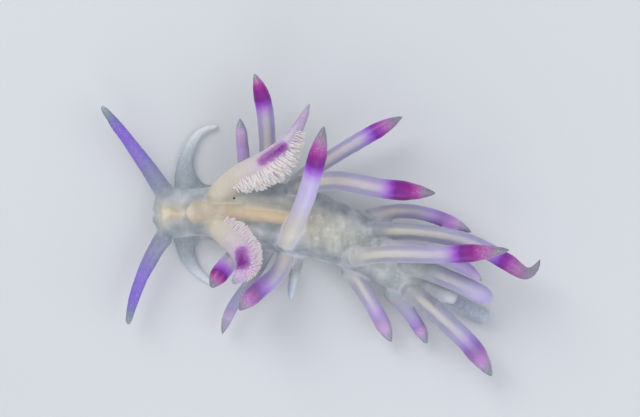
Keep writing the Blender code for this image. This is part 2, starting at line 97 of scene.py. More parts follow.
tentacles = {
    "right": dict(
        points=((-15.4, 1.5, 2.1), (-18.8, 6.4, 2.7), (-21.7, 10.15, 2.6)),
        radius=0.92, flare=0.0, shape=whip),
    "left": dict(
        points=((-15.4, -2.7, 2.1), (-17.9, -7.3, 2.6), (-19.1, -11.6, 2.4)),
        radius=0.88, flare=0.0, shape=whip),
}
rhinophores = {
    "right": dict(
        points=((-10.1, 1.2, 3.0), (-7.85, 3.3, 5.2), (-4.85, 4.85, 6.8), (-2.3, 7.7, 7.5), (-1.0, 10.4, 7.6)),
        radius=1.0, flare=0.25,
        shape=((0.0, 0.95), (0.12, 1.0), (0.3, 1.1), (0.45, 1.18), (0.58, 1.05), (0.7, 0.8), (0.82, 0.58),
               (0.92, 0.4), (1.0, 0.12))),
    "left": dict(
        points=((-10.25, -1.75, 3.0), (-8.95, -2.9, 5.4), (-7.35, -4.45, 8.2), (-7.15, -5.55, 9.9),
                (-7.75, -6.55, 11.0), (-8.5, -7.2, 11.55)),
        radius=1.1, flare=0.15,
        shape=((0.0, 0.9), (0.3, 1.0), (0.5, 1.18), (0.68, 1.12), (0.82, 0.86), (0.93, 0.56), (1.0, 0.25))),
}
patches = {  # ends of the middle line of each magenta patch, its reach and its strength
    "right": ((-5.7, 4.7, 7.7), (-3.7, 6.0, 8.2), 0.56, 0.95),
    "left": ((-7.65, -4.4, 9.5), (-7.6, -5.4, 10.8), 0.74, 1.15),
}
taper = ((0.0, 0.8), (0.12, 0.92), (0.45, 1.0), (0.78, 1.0), (0.88, 0.74), (0.95, 0.42), (1.0, 0.12))
stub = (
    (0.0, 0.8), (0.12, 0.92), (0.45, 1.0), (0.78, 1.0), (0.87, 0.93), (0.94, 0.74), (0.98, 0.46), (1.0, 0.2))
blunt = ((0.0, 0.8), (0.12, 0.92), (0.45, 1.0), (0.86, 1.0), (0.93, 0.86), (0.98, 0.55), (1.0, 0.25))
plainCeras = {
    "flare": 0.1,  # swelling at the root
    "shape": taper,
    "buried": 0.0,  # length at the root that is coloured as the body
    "core": True,  # whether a branch of the gut shows in it
    "power": 1.0,  # strength of the band
    "magenta": 1.0,  # the band's share of magenta against violet
    "milk": 0.0,  # how milky the far half of the wall is
    "cloudy": 0.0,  # how cloudy all of it is
    "violet": 0.8,
}
cerata = {  # what differs from the plain one; points from the root, the band's start and end from the tip
    "right_1": dict(
        plainCeras, points=((-7.3, 2.3, 2.7), (-7.65, 5.8, 3.2), (-7.93, 9.0, 3.7)),
        radius=0.64, core=False, band=(1.9, 3.0), power=0.38, magenta=0.95, milk=0.6, cloudy=0.3, violet=0.9),
    "right_2": dict(
        plainCeras, points=((-5.3, 2.1, 2.7), (-5.2, 6.5, 3.8), (-5.55, 10.2, 4.6), (-6.5, 13.4, 5.1)),
        radius=0.87, band=(1.2, 3.0), milk=0.15, cloudy=0.15),
    "right_3": dict(
        plainCeras, points=((-2.6, 2.6, 1.9), (0.8, 4.85, 3.0), (5.8, 7.8, 4.1), (8.2, 9.1, 4.4)),
        radius=0.83, band=(2.1, 3.5), magenta=0.45),
    "right_4": dict(
        plainCeras, points=((-2.9, 1.9, 4.0), (1.2, 2.75, 5.5), (6.3, 1.95, 6.1), (11.5, 1.5, 6.0)),
        radius=1.0, flare=0.12, band=(2.2, 4.4)),
    "right_5": dict(
        plainCeras, points=((4.4, -1.1, 2.0), (8.6, -0.25, 2.9), (12.2, -1.1, 3.3), (15.1, -2.4, 3.2)),
        radius=0.74, flare=0.35, buried=1.2, band=(2.4, 3.6), power=0.65, magenta=0.5, milk=0.2,
        cloudy=0.2, violet=1.0),
    "right_6": dict(
        plainCeras, points=((4.9, -2.4, 3.5), (10.8, -2.5, 4.3), (15.0, -3.45, 4.5), (18.5, -5.3, 4.6),
                            (20.6, -6.4, 4.6), (21.8, -4.95, 4.7)),
        radius=0.88, flare=0.3, buried=1.2, band=(4.0, 5.3), magenta=0.6),
    "right_7": dict(
        plainCeras, points=((5.3, -4.0, 4.1), (9.5, -4.05, 5.7), (13.8, -5.5, 5.85), (16.1, -7.3, 5.4)),
        radius=0.72, flare=0.2, buried=2.0, band=(0.9, 2.6), power=0.4, magenta=0.3, milk=0.05, cloudy=0.2),
    "right_8": dict(
        plainCeras, points=((8.4, -5.3, 3.1), (12.9, -7.05, 4.6), (16.0, -8.5, 4.2), (16.9, -9.0, 3.3)),
        radius=0.95, flare=0.3, shape=blunt, buried=4.6, band=(0.2, 1.6), power=0.2, magenta=0.2,
        cloudy=0.25, violet=0.7),
    "left_1": dict(
        plainCeras, points=((-7.2, -3.4, 2.2), (-8.6, -4.95, 3.7), (-9.7, -6.2, 5.0), (-10.75, -7.9, 6.0)),
        radius=0.92, band=(1.15, 1.8), milk=0.3, cloudy=0.2, violet=0.35),
    "left_2": dict(
        plainCeras, points=((-4.9, -4.0, 2.0), (-7.0, -7.4, 2.2), (-8.8, -10.0, 2.0), (-9.8, -12.7, 1.7)),
        radius=0.6, core=False, band=(2.6, 3.1), power=0.4, magenta=0.4, milk=0.12, violet=0.6),
    "left_3": dict(
        plainCeras, points=((-3.55, -3.55, 3.7), (-1.5, 0.8, 7.2), (-0.4, 4.55, 9.4), (0.4, 8.1, 10.6)),
        radius=0.95, flare=0.2, band=(2.6, 4.2), magenta=0.9, milk=0.5, cloudy=0.6, violet=0.75),
    "left_4": dict(
        plainCeras, points=((-3.3, -4.3, 1.7), (-4.3, -6.6, 3.6), (-6.2, -8.2, 4.7), (-8.1, -10.1, 5.0)),
        radius=0.9, band=(1.7, 2.9), power=0.8, magenta=0.85, milk=0.1, cloudy=0.45),
    "left_5": dict(
        plainCeras, points=((-1.8, -4.4, 1.55), (-2.6, -6.7, 1.4), (-2.95, -9.25, 1.3)),
        radius=0.42, flare=0.5, core=False, band=(0.4, 1.0), power=0.0, magenta=0.0, milk=0.9, violet=0.0),
    "left_6": dict(
        plainCeras, points=((3.1, -4.9, 4.0), (6.2, -4.5, 6.7), (12.2, -4.5, 7.8), (18.7, -4.05, 7.8)),
        radius=0.9, flare=0.25, buried=0.7, band=(3.3, 5.2), milk=0.08, cloudy=0.22, violet=0.75),
    "left_7": dict(
        plainCeras, points=((2.8, -5.8, 1.9), (5.1, -9.4, 2.2), (7.15, -13.4, 1.8)),
        radius=0.8, flare=0.45, buried=0.5, band=(2.0, 2.9), power=0.42, milk=0.25, cloudy=0.25),
    "left_8": dict(
        plainCeras, points=((6.75, -8.0, 1.45), (9.5, -11.3, 1.7), (10.7, -13.6, 1.4)),
        radius=0.67, flare=0.45, buried=1.6, core=False, band=(1.9, 2.3), power=0.55, magenta=0.5,
        milk=0.1, cloudy=0.25),
    "left_9": dict(
        plainCeras, points=((8.8, -8.0, 2.3), (11.75, -10.55, 3.3), (14.9, -13.6, 3.3), (17.05, -16.7, 2.6)),
        radius=1.0, flare=0.15, buried=0.6, band=(2.3, 3.9), power=0.75, magenta=0.4, milk=0.15, cloudy=0.15),
    "left_10": dict(
        plainCeras, points=((10.2, -7.5, 2.0), (12.0, -8.3, 2.9), (13.6, -9.15, 3.1)),
        radius=0.74, flare=0.3, shape=stub, buried=2.2, core=False, band=(0.3, 1.2), power=0.0,
        magenta=0.0, cloudy=0.4, violet=0.1),
}
sides = ("right", "left")
bodyReach, sideReach, bandSteps = 36.0, 3.0, 4.0  # greatest place, offset and step that the colours follow


# Curves and tubes


def distancesAlong(points):  # running sum of the straight steps between the points
    steps = np.linalg.norm(np.diff(points, axis=0), axis=1)
    return np.concatenate([[0.0], np.cumsum(steps)])


def cubicThrough(rows, knots, places):  # cubic between rows, with each row's slope read from its neighbours
    rows = np.asarray(rows, float)
    slopes = np.gradient(rows, knots, axis=0, edge_order=2)
    left = np.clip(np.searchsorted(knots, places, side="right") - 1, 0, len(knots) - 2)
    span = (knots[left + 1] - knots[left])[:, None]
    t = (places[:, None] - knots[left][:, None]) / span
    start = (1 + 2 * t) * (1 - t) ** 2 * rows[left] + t * (1 - t) ** 2 * span * slopes[left]
    return start + t**2 * (3 - 2 * t) * rows[left + 1] + t**2 * (t - 1) * span * slopes[left + 1]


def pathThrough(points, count):  # evenly spread points on the cubic through the given ones
    knots = distancesAlong(np.asarray(points, float))
    return cubicThrough(points, knots, np.linspace(0.0, knots[-1], count))


def unit(rows):  # each row divided by its own length
    return rows / np.linalg.norm(rows, axis=-1, keepdims=True)


def readTable(table, shares):  # straight-line reading of a table of shares and sizes, one column a size
    table = np.asarray(table, float)
    return np.stack([np.interp(shares, table[:, 0], column) for column in table[:, 1:].T], axis=1)


def ridge(shares, start, end):  # smooth step from 0 at start to 1 at end: 3t^2 - 2t^3
    t = np.clip((shares - start) / (end - start), 0.0, 1.0)
    return t * t * (3 - 2 * t)


def tubeAlong(path, radii, count):  # point = path + radius * (cos a * across + sin a * up), square to the path
    ahead = unit(np.gradient(path, axis=0))
    across = unit(np.cross(ahead, (0.0, 0.0, 1.0)))
    up = np.cross(across, ahead)
    angles = np.linspace(0.0, 2 * math.pi, count, endpoint=False)[None, :, None]
    ring = np.cos(angles) * across[:, None] + np.sin(angles) * up[:, None]
    return path[:, None] + np.asarray(radii)[:, None, None] * ring


def bodyAt(places):  # plan point, plan direction, half width and back height at distances from the nose
    stations = np.array(body["stations"])
    knots = distancesAlong(stations[:, :2])
    here = cubicThrough(stations, knots, places)
    before, after = (cubicThrough(stations, knots, places + step)[:, :2] for step in (-0.05, 0.05))
    return here[:, :2], unit(after - before), here[:, 2], here[:, 3]


bodyLength = distancesAlong(np.array(body["stations"])[:, :2])[-1]


def rounded(distance, length):  # quarter circle: sqrt(1 - (1 - d / length)^2), then 1
    return np.sqrt(1 - (1 - np.clip(distance / length, 0.0, 1.0)) ** 2)


def slabSection(halfWidth, top, base, fullness, widest, count):
    # Superellipse above the widest line, tucked in below it.
    low = math.radians(body["tuck"])
    angles = np.linspace(-low, math.pi + low, count)[None]
    across = np.sign(np.cos(angles)) * np.abs(np.cos(angles)) ** (2 / fullness)
    above = np.abs(np.sin(angles)) ** (2 / fullness)
    under = (angles < 0) | (angles > math.pi)
    up = np.where(under, np.sin(angles) / math.sin(low), above)
    middle = base + widest * (top - base)
    reach = np.where(up > 0, top - middle, middle - base)
    return halfWidth * across, middle + up * reach


def onPlan(centre, ahead, across, height):  # outline set upright across the plan direction
    right = np.stack([-ahead[:, 1], ahead[:, 0]], axis=1)
    plan = centre[:, None] + across[:, :, None] * right[:, None]
    return np.concatenate([plan, height[:, :, None]], axis=2)


def bodyGrid():  # the back and flanks from nose to tail, closing as quarter circles at both ends
    turns = 0.5 - 0.5 * np.cos(np.linspace(*body["ringRange"], body["rings"]) * math.pi)
    places = turns * bodyLength
    centre, ahead, halfWidth, top = bodyAt(places)
    share = rounded(places, body["noseRound"]) * rounded(bodyLength - places, body["tailRound"])
    base = body["base"] * (1 - ridge(places, *body["baseEnd"]))
    middle = base + body["widest"] * (top - base)
    across, height = slabSection(
        (halfWidth * share)[:, None], (middle + (top - middle) * share)[:, None],
        (middle - (middle - base) * share)[:, None], body["fullness"], body["widest"], body["sides"])
    return onPlan(centre, ahead, across, height)


def footGrid():  # the sole's slab under the trunk
    places = np.linspace(foot["start"], foot["end"], foot["rings"])
    centre, ahead, halfWidth, _ = bodyAt(places)
    (front, frontLength), (rear, rearLength) = foot["frontRound"], foot["rearRound"]
    share = rounded(places - foot["start"] + front, frontLength)
    share *= foot["rearShare"] + (1 - foot["rearShare"]) * rounded(foot["end"] - places + rear, rearLength)
    across, height = slabSection(
        (halfWidth * foot["share"] * share)[:, None], foot["height"], 0.0, foot["fullness"], foot["widest"],
        foot["sides"])
    return onPlan(centre, ahead, across, height + np.zeros_like(across))


def cornerPath(side):  # path just above the floor, and half widths
    path = pathThrough(corners[side], limbRings) + np.array([0.0, 0.0, 0.3])
    return path, readTable(corners["shape"], np.linspace(0, 1, limbRings))[:, 0]


def flatGrid(points, sizes, rings):
    # Half-round section with a flat base on a path along the floor, from a table of half widths and heights.
    path = pathThrough(points, rings)
    sizes = readTable(sizes, np.linspace(0, 1, rings))
    across, height = slabSection(sizes[:, :1], sizes[:, 1:], 0.0, 2.0, 0.4, 32)
    return onPlan(path[:, :2], unit(np.gradient(path, axis=0))[:, :2], across, height)


limbs = {"ceras": cerata, "tentacle": tentacles, "rhino": rhinophores}
limbRings = 110
swellingReach = 2.6  # length over which the swelling at a root falls off


def limbPath(kind, name):  # path and radii: the size from its outline, swollen at the root as a bell
    row = limbs[kind][name]
    path = pathThrough(row["points"], limbRings)
    along = distancesAlong(path)
    swelling = 1 + row["flare"] * np.exp(-(along / swellingReach) ** 2)
    return path, row["radius"] * readTable(row["shape"], along / along[-1])[:, 0] * swelling


def patchDistance(points, side):
    # Distance from the middle line of a magenta patch, as a share of its reach, and the share of the way
    # along that line.
    start, end, reach, _ = patches[side]
    start, run = np.array(start), np.array(end) - np.array(start)
    share = np.clip((points - start) @ run / (run @ run), 0, 1)
    return np.linalg.norm(points - start - share[:, None] * run, axis=1) / reach, share


balls = {  # centre and radii of the lips, and of the flesh that fills the creases between roots
    "lips": (((-16.15, -1.05, 1.75), (0.6, 0.5, 0.62)), ((-16.15, -0.05, 1.75), (0.6, 0.5, 0.62))),
    "crotches": (
        ((5.9, -1.6, 2.9), (1.3, 0.9, 0.7)), ((8.4, -8.6, 1.7), (1.0, 0.9, 0.8)),
        ((10.9, -8.6, 2.0), (1.1, 0.9, 0.8))),
}


def ballGrid(centre, radii, rings=24, gap=0.08):
    # Ellipsoid: centre + radii * (cos a sin b, sin a sin b, cos b), with a gap left round each pole.
    polar, turn = np.meshgrid(
        np.linspace(gap, math.pi - gap, rings), np.linspace(0, 2 * math.pi, 32, endpoint=False), indexing="ij")
    ball = np.stack([np.cos(turn) * np.sin(polar), np.sin(turn) * np.sin(polar), np.cos(polar)], axis=2)
    return np.array(centre) + ball * np.array(radii)


def closedFaces(rings, count, start=0):  # quads between neighbouring rings and a fan of triangles at each end
    row = np.arange(rings - 1)[:, None] * count
    here = np.arange(count)[None]
    after = (here + 1) % count
    quads = np.stack([row + here, row + after, row + count + after, row + count + here], axis=2).reshape(-1, 4)
    first, last = rings * count, rings * count + 1
    here, after = here[0], after[0]
    low = np.stack([np.full(count, first), after, here], axis=1)
    high = np.stack([np.full(count, last), here + (rings - 1) * count, after + (rings - 1) * count], axis=1)
    return quads + start, np.concatenate([low, high]) + start


def turnedOutward(grid):
    # The rings run backwards where (step along the ring) x (step to the next) points inward.
    outward = grid[:-1] - grid[:-1].mean(axis=1, keepdims=True)
    facing = np.cross(np.roll(grid, -1, axis=1)[:-1] - grid[:-1], np.diff(grid, axis=0))
    return grid if np.einsum("ijk,ijk->", facing, outward) > 0 else grid[:, ::-1]


def gatherGrids(grids):
    # All grids in one list of points and faces, each with a pole point in the middle of its ends.
    points, faces, start = [], [], 0
    for grid in map(turnedOutward, grids):
        rings, count = grid.shape[:2]
        quads, fans = closedFaces(rings, count, start)
        points += [grid.reshape(-1, 3), grid[[0, -1]].mean(axis=1)]
        faces += quads.tolist() + fans.tolist()
        start += rings * count + 2
    return np.concatenate(points), faces


def makePiece(name, points, faces, scale=mm):  # a smooth mesh object at the origin, its place in its points
    mesh = bpy.data.meshes.new(name)
    mesh.from_pydata((points * scale).tolist(), [], faces)
    mesh.update()
    mesh.shade_smooth()
    piece = bpy.data.objects.new(name, mesh)
    bpy.context.scene.collection.objects.link(piece)
    return piece


def pointsOf(mesh):  # the mesh's points as one array
    flat = np.empty(len(mesh.vertices) * 3, np.float32)
    mesh.vertices.foreach_get("co", flat)
    return flat.reshape(-1, 3).astype(float)


def normalsOf(mesh):  # the mesh's vertex normals as one array
    flat = np.empty(len(mesh.vertices) * 3, np.float32)
    mesh.vertex_normals.foreach_get("vector", flat)
    return flat.reshape(-1, 3).astype(float)


def setAttribute(mesh, name, values):  # one number at each point of the mesh
    layer = mesh.attributes.new(name, "FLOAT", "POINT")
    layer.data.foreach_set("value", np.asarray(values, np.float32))


def unevenness(points, size):  # three crossed sine waves, about -1 to 1
    x, y, z = (points / size).T
    wave = np.sin(x + 1.7 * np.sin(y * 0.6)) + np.sin(1.3 * y - z + 0.9) + np.sin(1.1 * z + 0.8 * x + 2.0)
    return wave / 3


# The skin: one closed surface over body, foot, feelers and cerata

skinShape = {
    "limbSides": 36,
    "voxel": 0.16,
    "smoothing": 10,
    "ripple": 0.025,
    "rippleSizes": (0.55, 0.23),
    "fineShare": 0.6,  # of the finer ripple
    "rippleStart": (0.05, 0.5),  # heights between which it comes in, so that the sole stays flat
    "slit": (-15.6, -0.55, 1.5),  # rearmost place, offset and height of the mouth's slit
    "slitWidth": 0.16,
    "slitHeight": 0.5,
    "slitDepth": 0.45,
}
nearLimb = 1.8  # how far round a limb its own points are looked for
farOff = 9.0  # the distance noted for all others
endSlack = 0.3  # how far past the end of a path a point still counts as beside it
colourStart = {  # how far outside the trunk each kind's own colours start and are full
    "ceras": (-0.15, 0.75), "tentacle": (-0.4, 1.1), "rhino": (-0.5, 1.5), "corner": (-0.15, 0.75)}
colourEnd = 1.2  # distance from a limb at which its own colours stop
buriedStart = 0.4  # share of the buried length of a ceras at which its own colours start
bandFade = 1.7  # length over which the band fades toward the root
patchStart = 0.72  # strength at the start of a patch's line, as a share of that at its end
rootLine = {  # the pale line round the root of a ceras
    "away": 0.05,  # distance from the ceras's surface
    "width": 0.16,
    "reach": 0.35,  # how far out from the trunk it runs
    "fainter": 0.4,  # the more of the ceras is buried
}


def growSkin():
    grids = [bodyGrid(), footGrid()] + [ballGrid(*ball) for group in balls.values() for ball in group]
    grids += [flatGrid(corners[side], corners["shape"], 60) for side in sides]
    grids += [flatGrid(corners["webs"][side], corners["webSizes"], 40) for side in sides]
    for kind in ("tentacle", "rhino", "ceras"):
        grids += [tubeAlong(*limbPath(kind, name), skinShape["limbSides"]) for name in limbs[kind]]
    rough = makePiece("roughSkin", *gatherGrids(grids), scale=1.0)
    remesh = rough.modifiers.new("remesh", "REMESH")
    remesh.mode = "VOXEL"
    remesh.voxel_size = skinShape["voxel"]
    smooth = rough.modifiers.new("smooth", "SMOOTH")
    smooth.factor = 0.5
    smooth.iterations = skinShape["smoothing"]
    graph = bpy.context.evaluated_depsgraph_get()
    mesh = bpy.data.meshes.new_from_object(rough.evaluated_get(graph))
    bpy.data.objects.remove(rough)
    mesh.name = "skin"
    mesh.shade_smooth()
    skin = bpy.data.objects.new("skin", mesh)
    bpy.context.scene.collection.objects.link(skin)
    return skin


def alongLimb(points, path, radii):
    # Distance of each point from the limb's surface, and its distance along the limb.
    # Nearest of the path's points, moved on by the dot product with the path's direction there.
    low, high = path.min(axis=0) - nearLimb, path.max(axis=0) + nearLimb
    close = np.flatnonzero(((points > low) & (points < high)).all(axis=1))
    knots = distancesAlong(path)
    ahead = unit(np.gradient(path, axis=0))
    gaps = points[close][:, None] - path[None]
    nearest = np.einsum("ijk,ijk->ij", gaps, gaps).argmin(axis=1)
    here = gaps[np.arange(len(close)), nearest]
    onward = np.einsum("ij,ij->i", here, ahead[nearest])
    off = np.linalg.norm(here - onward[:, None] * ahead[nearest], axis=1)
    beyond = np.maximum(np.abs(onward) - endSlack, 0.0)
    surface = np.full(len(points), farOff)
    place = np.zeros(len(points))
    surface[close] = off - radii[nearest] + beyond
    place[close] = np.clip(knots[nearest] + onward, 0.0, knots[-1])
    return surface, place, knots[-1]


def bodyPlaces(points):
    # Distance from the nose and offset from the middle line, from the nearest of many points on that line,
    # then how far outside the trunk's section each point is.
    places = np.linspace(0.0, bodyLength, 500)
    centre, ahead, halfWidth, top = bodyAt(places)
    gaps = points[:, None, :2] - centre[None]
    nearest = np.einsum("ijk,ijk->ij", gaps, gaps).argmin(axis=1)
    here = gaps[np.arange(len(points)), nearest]
    offset = here[:, 1] * ahead[nearest, 0] - here[:, 0] * ahead[nearest, 1]
    middle = body["base"] + body["widest"] * (top[nearest] - body["base"])
    up = np.maximum(points[:, 2] - middle, 0.0) / (top[nearest] - middle)
    across = np.abs(offset) / halfWidth[nearest]
    section = (across ** body["fullness"] + up ** body["fullness"]) ** (1 / body["fullness"])
    return places[nearest], offset, (section - 1) * halfWidth[nearest]


def markSkin(skin):
    # Numbers on each point that the colours follow: which limb it is on, and how far along.
    points = pointsOf(skin.data)
    place, offset, bodySurface = bodyPlaces(points)
    traits = ("power", "magenta", "milk", "cloudy", "violet")
    names = [kind + end for end in ("Part", "Share") for kind in colourStart] + [*traits, "rootLine", "patch"]
    marks = {name: np.zeros(len(points)) for name in names}
    marks.update(band=np.full(len(points), bandSteps), bodyPlace=place, bodyOffset=offset)
    best = np.full(len(points), farOff)
    paths = [(kind, name, limbPath(kind, name)) for kind in limbs for name in limbs[kind]]
    paths += [("corner", side, cornerPath(side)) for side in sides]
    for kind, name, (path, radii) in paths:
        surface, along, length = alongLimb(points, path, radii)
        nearer = surface < best
        best[nearer] = surface[nearer]
        part = ridge(bodySurface - surface, *colourStart[kind]) * (surface < colourEnd)
        if kind == "ceras":
            ceras = cerata[name]
            part *= ridge(along, buriedStart * ceras["buried"], ceras["buried"] + 0.01)
            line = np.exp(-((surface - rootLine["away"]) / rootLine["width"]) ** 2)
            line *= bodySurface < rootLine["reach"]
            line /= 1 + rootLine["fainter"] * ceras["buried"]
            marks["rootLine"] = np.maximum(marks["rootLine"], line)
            start, end = ceras["band"]
            places = (0.0, 0.4 * start, start, end, end + bandFade, 30.0)
            steps = (0.0, 0.5, 1.0, 2.0, 3.0, bandSteps)
            marks["band"][nearer] = np.interp(length - along, places, steps)[nearer]
            for trait in traits:
                marks[trait][nearer] = ceras[trait]
        for other in colourStart:
            marks[other + "Part"][nearer] = part[nearer] if other == kind else 0.0
        marks[kind + "Share"][nearer] = (along / length)[nearer]
    for side in sides:  # falls off from the middle line as a bell, and is weaker where it starts
        distance, along = patchDistance(points, side)
        rising = patchStart + (1 - patchStart) * along
        marks["patch"] += patches[side][3] * rising * np.exp(-distance**2)
    for name, values in marks.items():
        setAttribute(skin.data, name, values)
    return list(marks)


def finishSkin(skin):
    # Small unevenness along the normal, and the slit of the mouth pressed in between the lips.
    points, normals = pointsOf(skin.data), normalsOf(skin.data)
    broad, fine = skinShape["rippleSizes"]
    raised = unevenness(points, broad) + skinShape["fineShare"] * unevenness(points[:, ::-1], fine)
    free = ridge(points[:, 2], *skinShape["rippleStart"])
    points = points + normals * (skinShape["ripple"] * raised * free)[:, None]
    rear, offset, height = skinShape["slit"]
    slit = np.exp(-((points[:, 1] - offset) / skinShape["slitWidth"]) ** 2) * (points[:, 0] < rear)
    slit *= np.exp(-((points[:, 2] - height) / skinShape["slitHeight"]) ** 4)
    points[:, 0] += skinShape["slitDepth"] * slit
    points[:, 2] = np.maximum(points[:, 2], 0.0)
    points = (points + rowShift) * mm
    skin.data.vertices.foreach_set("co", points.astype(np.float32).ravel())
    skin.data.update()


skin = growSkin()
skinMarks = markSkin(skin)
finishSkin(skin)
print("skin:", len(skin.data.polygons), "faces")


# What shows through the skin: the gut and its branches into the cerata

gut = {
    "pharynx": (3.4, 16.5),  # distances from the nose
    "pharynxSizes": (  # place, half width, half height
        (3.4, 0.1, 0.1), (3.5, 0.55, 0.4), (3.75, 0.95, 0.65), (4.2, 1.3, 0.8), (4.9, 1.45, 0.85),
        (5.8, 1.4, 0.85), (7.2, 1.2, 0.85), (9.0, 0.95, 0.85), (11.0, 0.85, 0.8), (12.5, 0.85, 0.75),
        (14.5, 0.7, 0.6), (16.5, 0.1, 0.1),
    ),
    "pharynxDepth": 0.3,  # of its top below the skin
    "gland": (13.6, 31.0),
    "glandShare": 0.62,  # of the body's half width
    "glandHeight": 0.33,  # half its height, as a share of the back's
    "glandMiddle": 0.52,  # height of its middle, as the same share
    "glandRound": (3.0, 1.8),  # lengths over which its front and its rear round off
    "branchShare": 0.4,  # of the ceras's radius
    "branchSides": 24,
    "branchStart": (0.2, 0.45),  # distance from the root, and how much more for each length that is buried
    "branchEnd": 0.86,  # share of the ceras's length
    "branchRound": (1.0, 0.1),  # length at the root and share of the whole over which it rounds off
    "branchFade": (0.9, 1.5),  # length over which it comes into view, and how much more where it is buried
    "glandFade": ((13.6, 15.5), (24.5, 31.0)),  # places along the body where it comes into view and goes
    "pharynxFade": (12.5, 16.5),
}


def pharynxGrid():  # oval tube under the back, bulbous in front and drawn out behind
    places = np.linspace(*gut["pharynx"], 110)
    centre, ahead, _, top = bodyAt(places)
    sizes = readTable(gut["pharynxSizes"], places)
    angles = np.linspace(0, 2 * math.pi, 40, endpoint=False)[None]
    middle = (top - gut["pharynxDepth"])[:, None] - sizes[:, 1:]
    return onPlan(centre, ahead, sizes[:, :1] * np.cos(angles), middle + sizes[:, 1:] * np.sin(angles))


def glandGrid():  # oval tube along the trunk, its width and height uneven
    (start, end), (front, rear) = gut["gland"], gut["glandRound"]
    places = np.linspace(start, end, 200)
    centre, ahead, halfWidth, top = bodyAt(places)
    share = rounded(places - start + 0.02, front) * rounded(end - places + 0.02, rear)
    angles = np.linspace(0, 2 * math.pi, 64, endpoint=False)[None]
    along = places[:, None]
    lumps = 1 + 0.10 * np.sin(3.1 * along + 2 * angles) + 0.08 * np.sin(5.3 * along - 5 * angles)
    wide = (gut["glandShare"] * halfWidth * share)[:, None] * lumps
    tall = (gut["glandHeight"] * top * share)[:, None] * lumps
    middle = (gut["glandMiddle"] * top)[:, None]
    return onPlan(centre, ahead, wide * np.cos(angles), middle + tall * np.sin(angles))


def branchGrid(name):
    # Tube inside a ceras, a little lumpy and rounded off where the band begins, and how far it has come
    # into view at each of its points.
    path, sizes = limbPath("ceras", name)
    buried, count = cerata[name]["buried"], gut["branchSides"]
    shares = np.linspace(0, 1, len(path))
    phase = sum(map(ord, name))
    along = distancesAlong(path)
    start = gut["branchStart"][0] + gut["branchStart"][1] * buried
    keep = (along >= start) & (shares <= gut["branchEnd"])
    fade = gut["branchFade"][0] + gut["branchFade"][1] * min(buried, 1.0)
    shown = ridge(along, start, start + fade)
    lumps = 1 + 0.05 * np.sin(along * 2.9 + phase) + 0.03 * np.sin(along * 7.3 + 2 * phase)
    radii = gut["branchShare"] * np.minimum(sizes, cerata[name]["radius"]) * lumps
    front, rear = gut["branchRound"]
    radii *= rounded(gut["branchEnd"] - shares + 0.002, rear) * rounded(along - start + 0.05, front)
    shown = np.repeat(shown[keep], count)
    return tubeAlong(path[keep], radii[keep], count), np.append(shown, shown[[0, -1]])


def gutPiece(name, grids, shown):
    # A piece with each point's place along the body and how far it has come into view there.
    points, faces = gatherGrids(grids)
    place = bodyPlaces(points)[0]
    piece = makePiece(name, points + rowShift, faces)
    setAttribute(piece.data, "gutPlace", place)
    setAttribute(piece.data, "gutShown", shown(place))
    return piece


def makeGut():
    rise, fall = gut["glandFade"]
    tubes, branchShown = zip(*(branchGrid(name) for name in cerata if cerata[name]["core"]))
    return (
        gutPiece("gland", [glandGrid()], lambda place: ridge(place, *rise) * (1 - ridge(place, *fall))),
        gutPiece("pharynx", [pharynxGrid()], lambda place: 1 - ridge(place, *gut["pharynxFade"])),
        gutPiece("gutBranches", tubes, lambda place: np.concatenate(branchShown)))


gland, pharynx, branches = makeGut()
print("gut made")


# The papillae of the rhinophores

papillae = {
    "range": {"right": (0.2, 0.79), "left": (0.12, 0.88)},  # shares of the rhinophore
    "rows": 13,
    "spread": {"right": 96.0, "left": 70.0},  # of the outer rows from straight back, in degrees
    "fold": 0.6,  # share of that angle at which they point
    "sideways": 0.6,  # share of the length that one at a right angle to straight back would have
    "perRow": {"right": 32, "left": 40},
    "rearward": {"right": (1.0, -0.7, -0.35), "left": (1.0, 0.45, -0.4)},
    "lengths": {
        "right": ((0.0, 0.8), (0.2, 1.35), (0.6, 1.4), (0.8, 1.0), (1.0, 0.4)),
        "left": ((0.0, 0.8), (0.2, 1.1), (0.45, 0.62), (0.7, 0.38), (1.0, 0.22)),
    },
    "paler": {"right": 1.0, "left": 0.35},  # how far the pale tone of the tips is reached
    "radius": 0.13,
    "thinner": (0.5, 1.0),  # shares of the radius, which are the length where that lies between them
    "lean": (4.0, 16.0),  # toward the tip, at the lowest and the highest
    "bend": 0.1,
    "rooted": 0.8,  # share of the rhinophore's radius at which they start
    "uneven": {"along": 0.2, "turn": 8.0, "lean": 9.0, "length": (0.7, 1.1)},
    "clear": 1.0,  # reaches of the magenta patch kept free
    "sides": 6,
    "shape": ((0.0, 1.3), (0.3, 1.0), (0.65, 0.9), (0.88, 0.75), (0.97, 0.4)),  # share of length, of radius
}


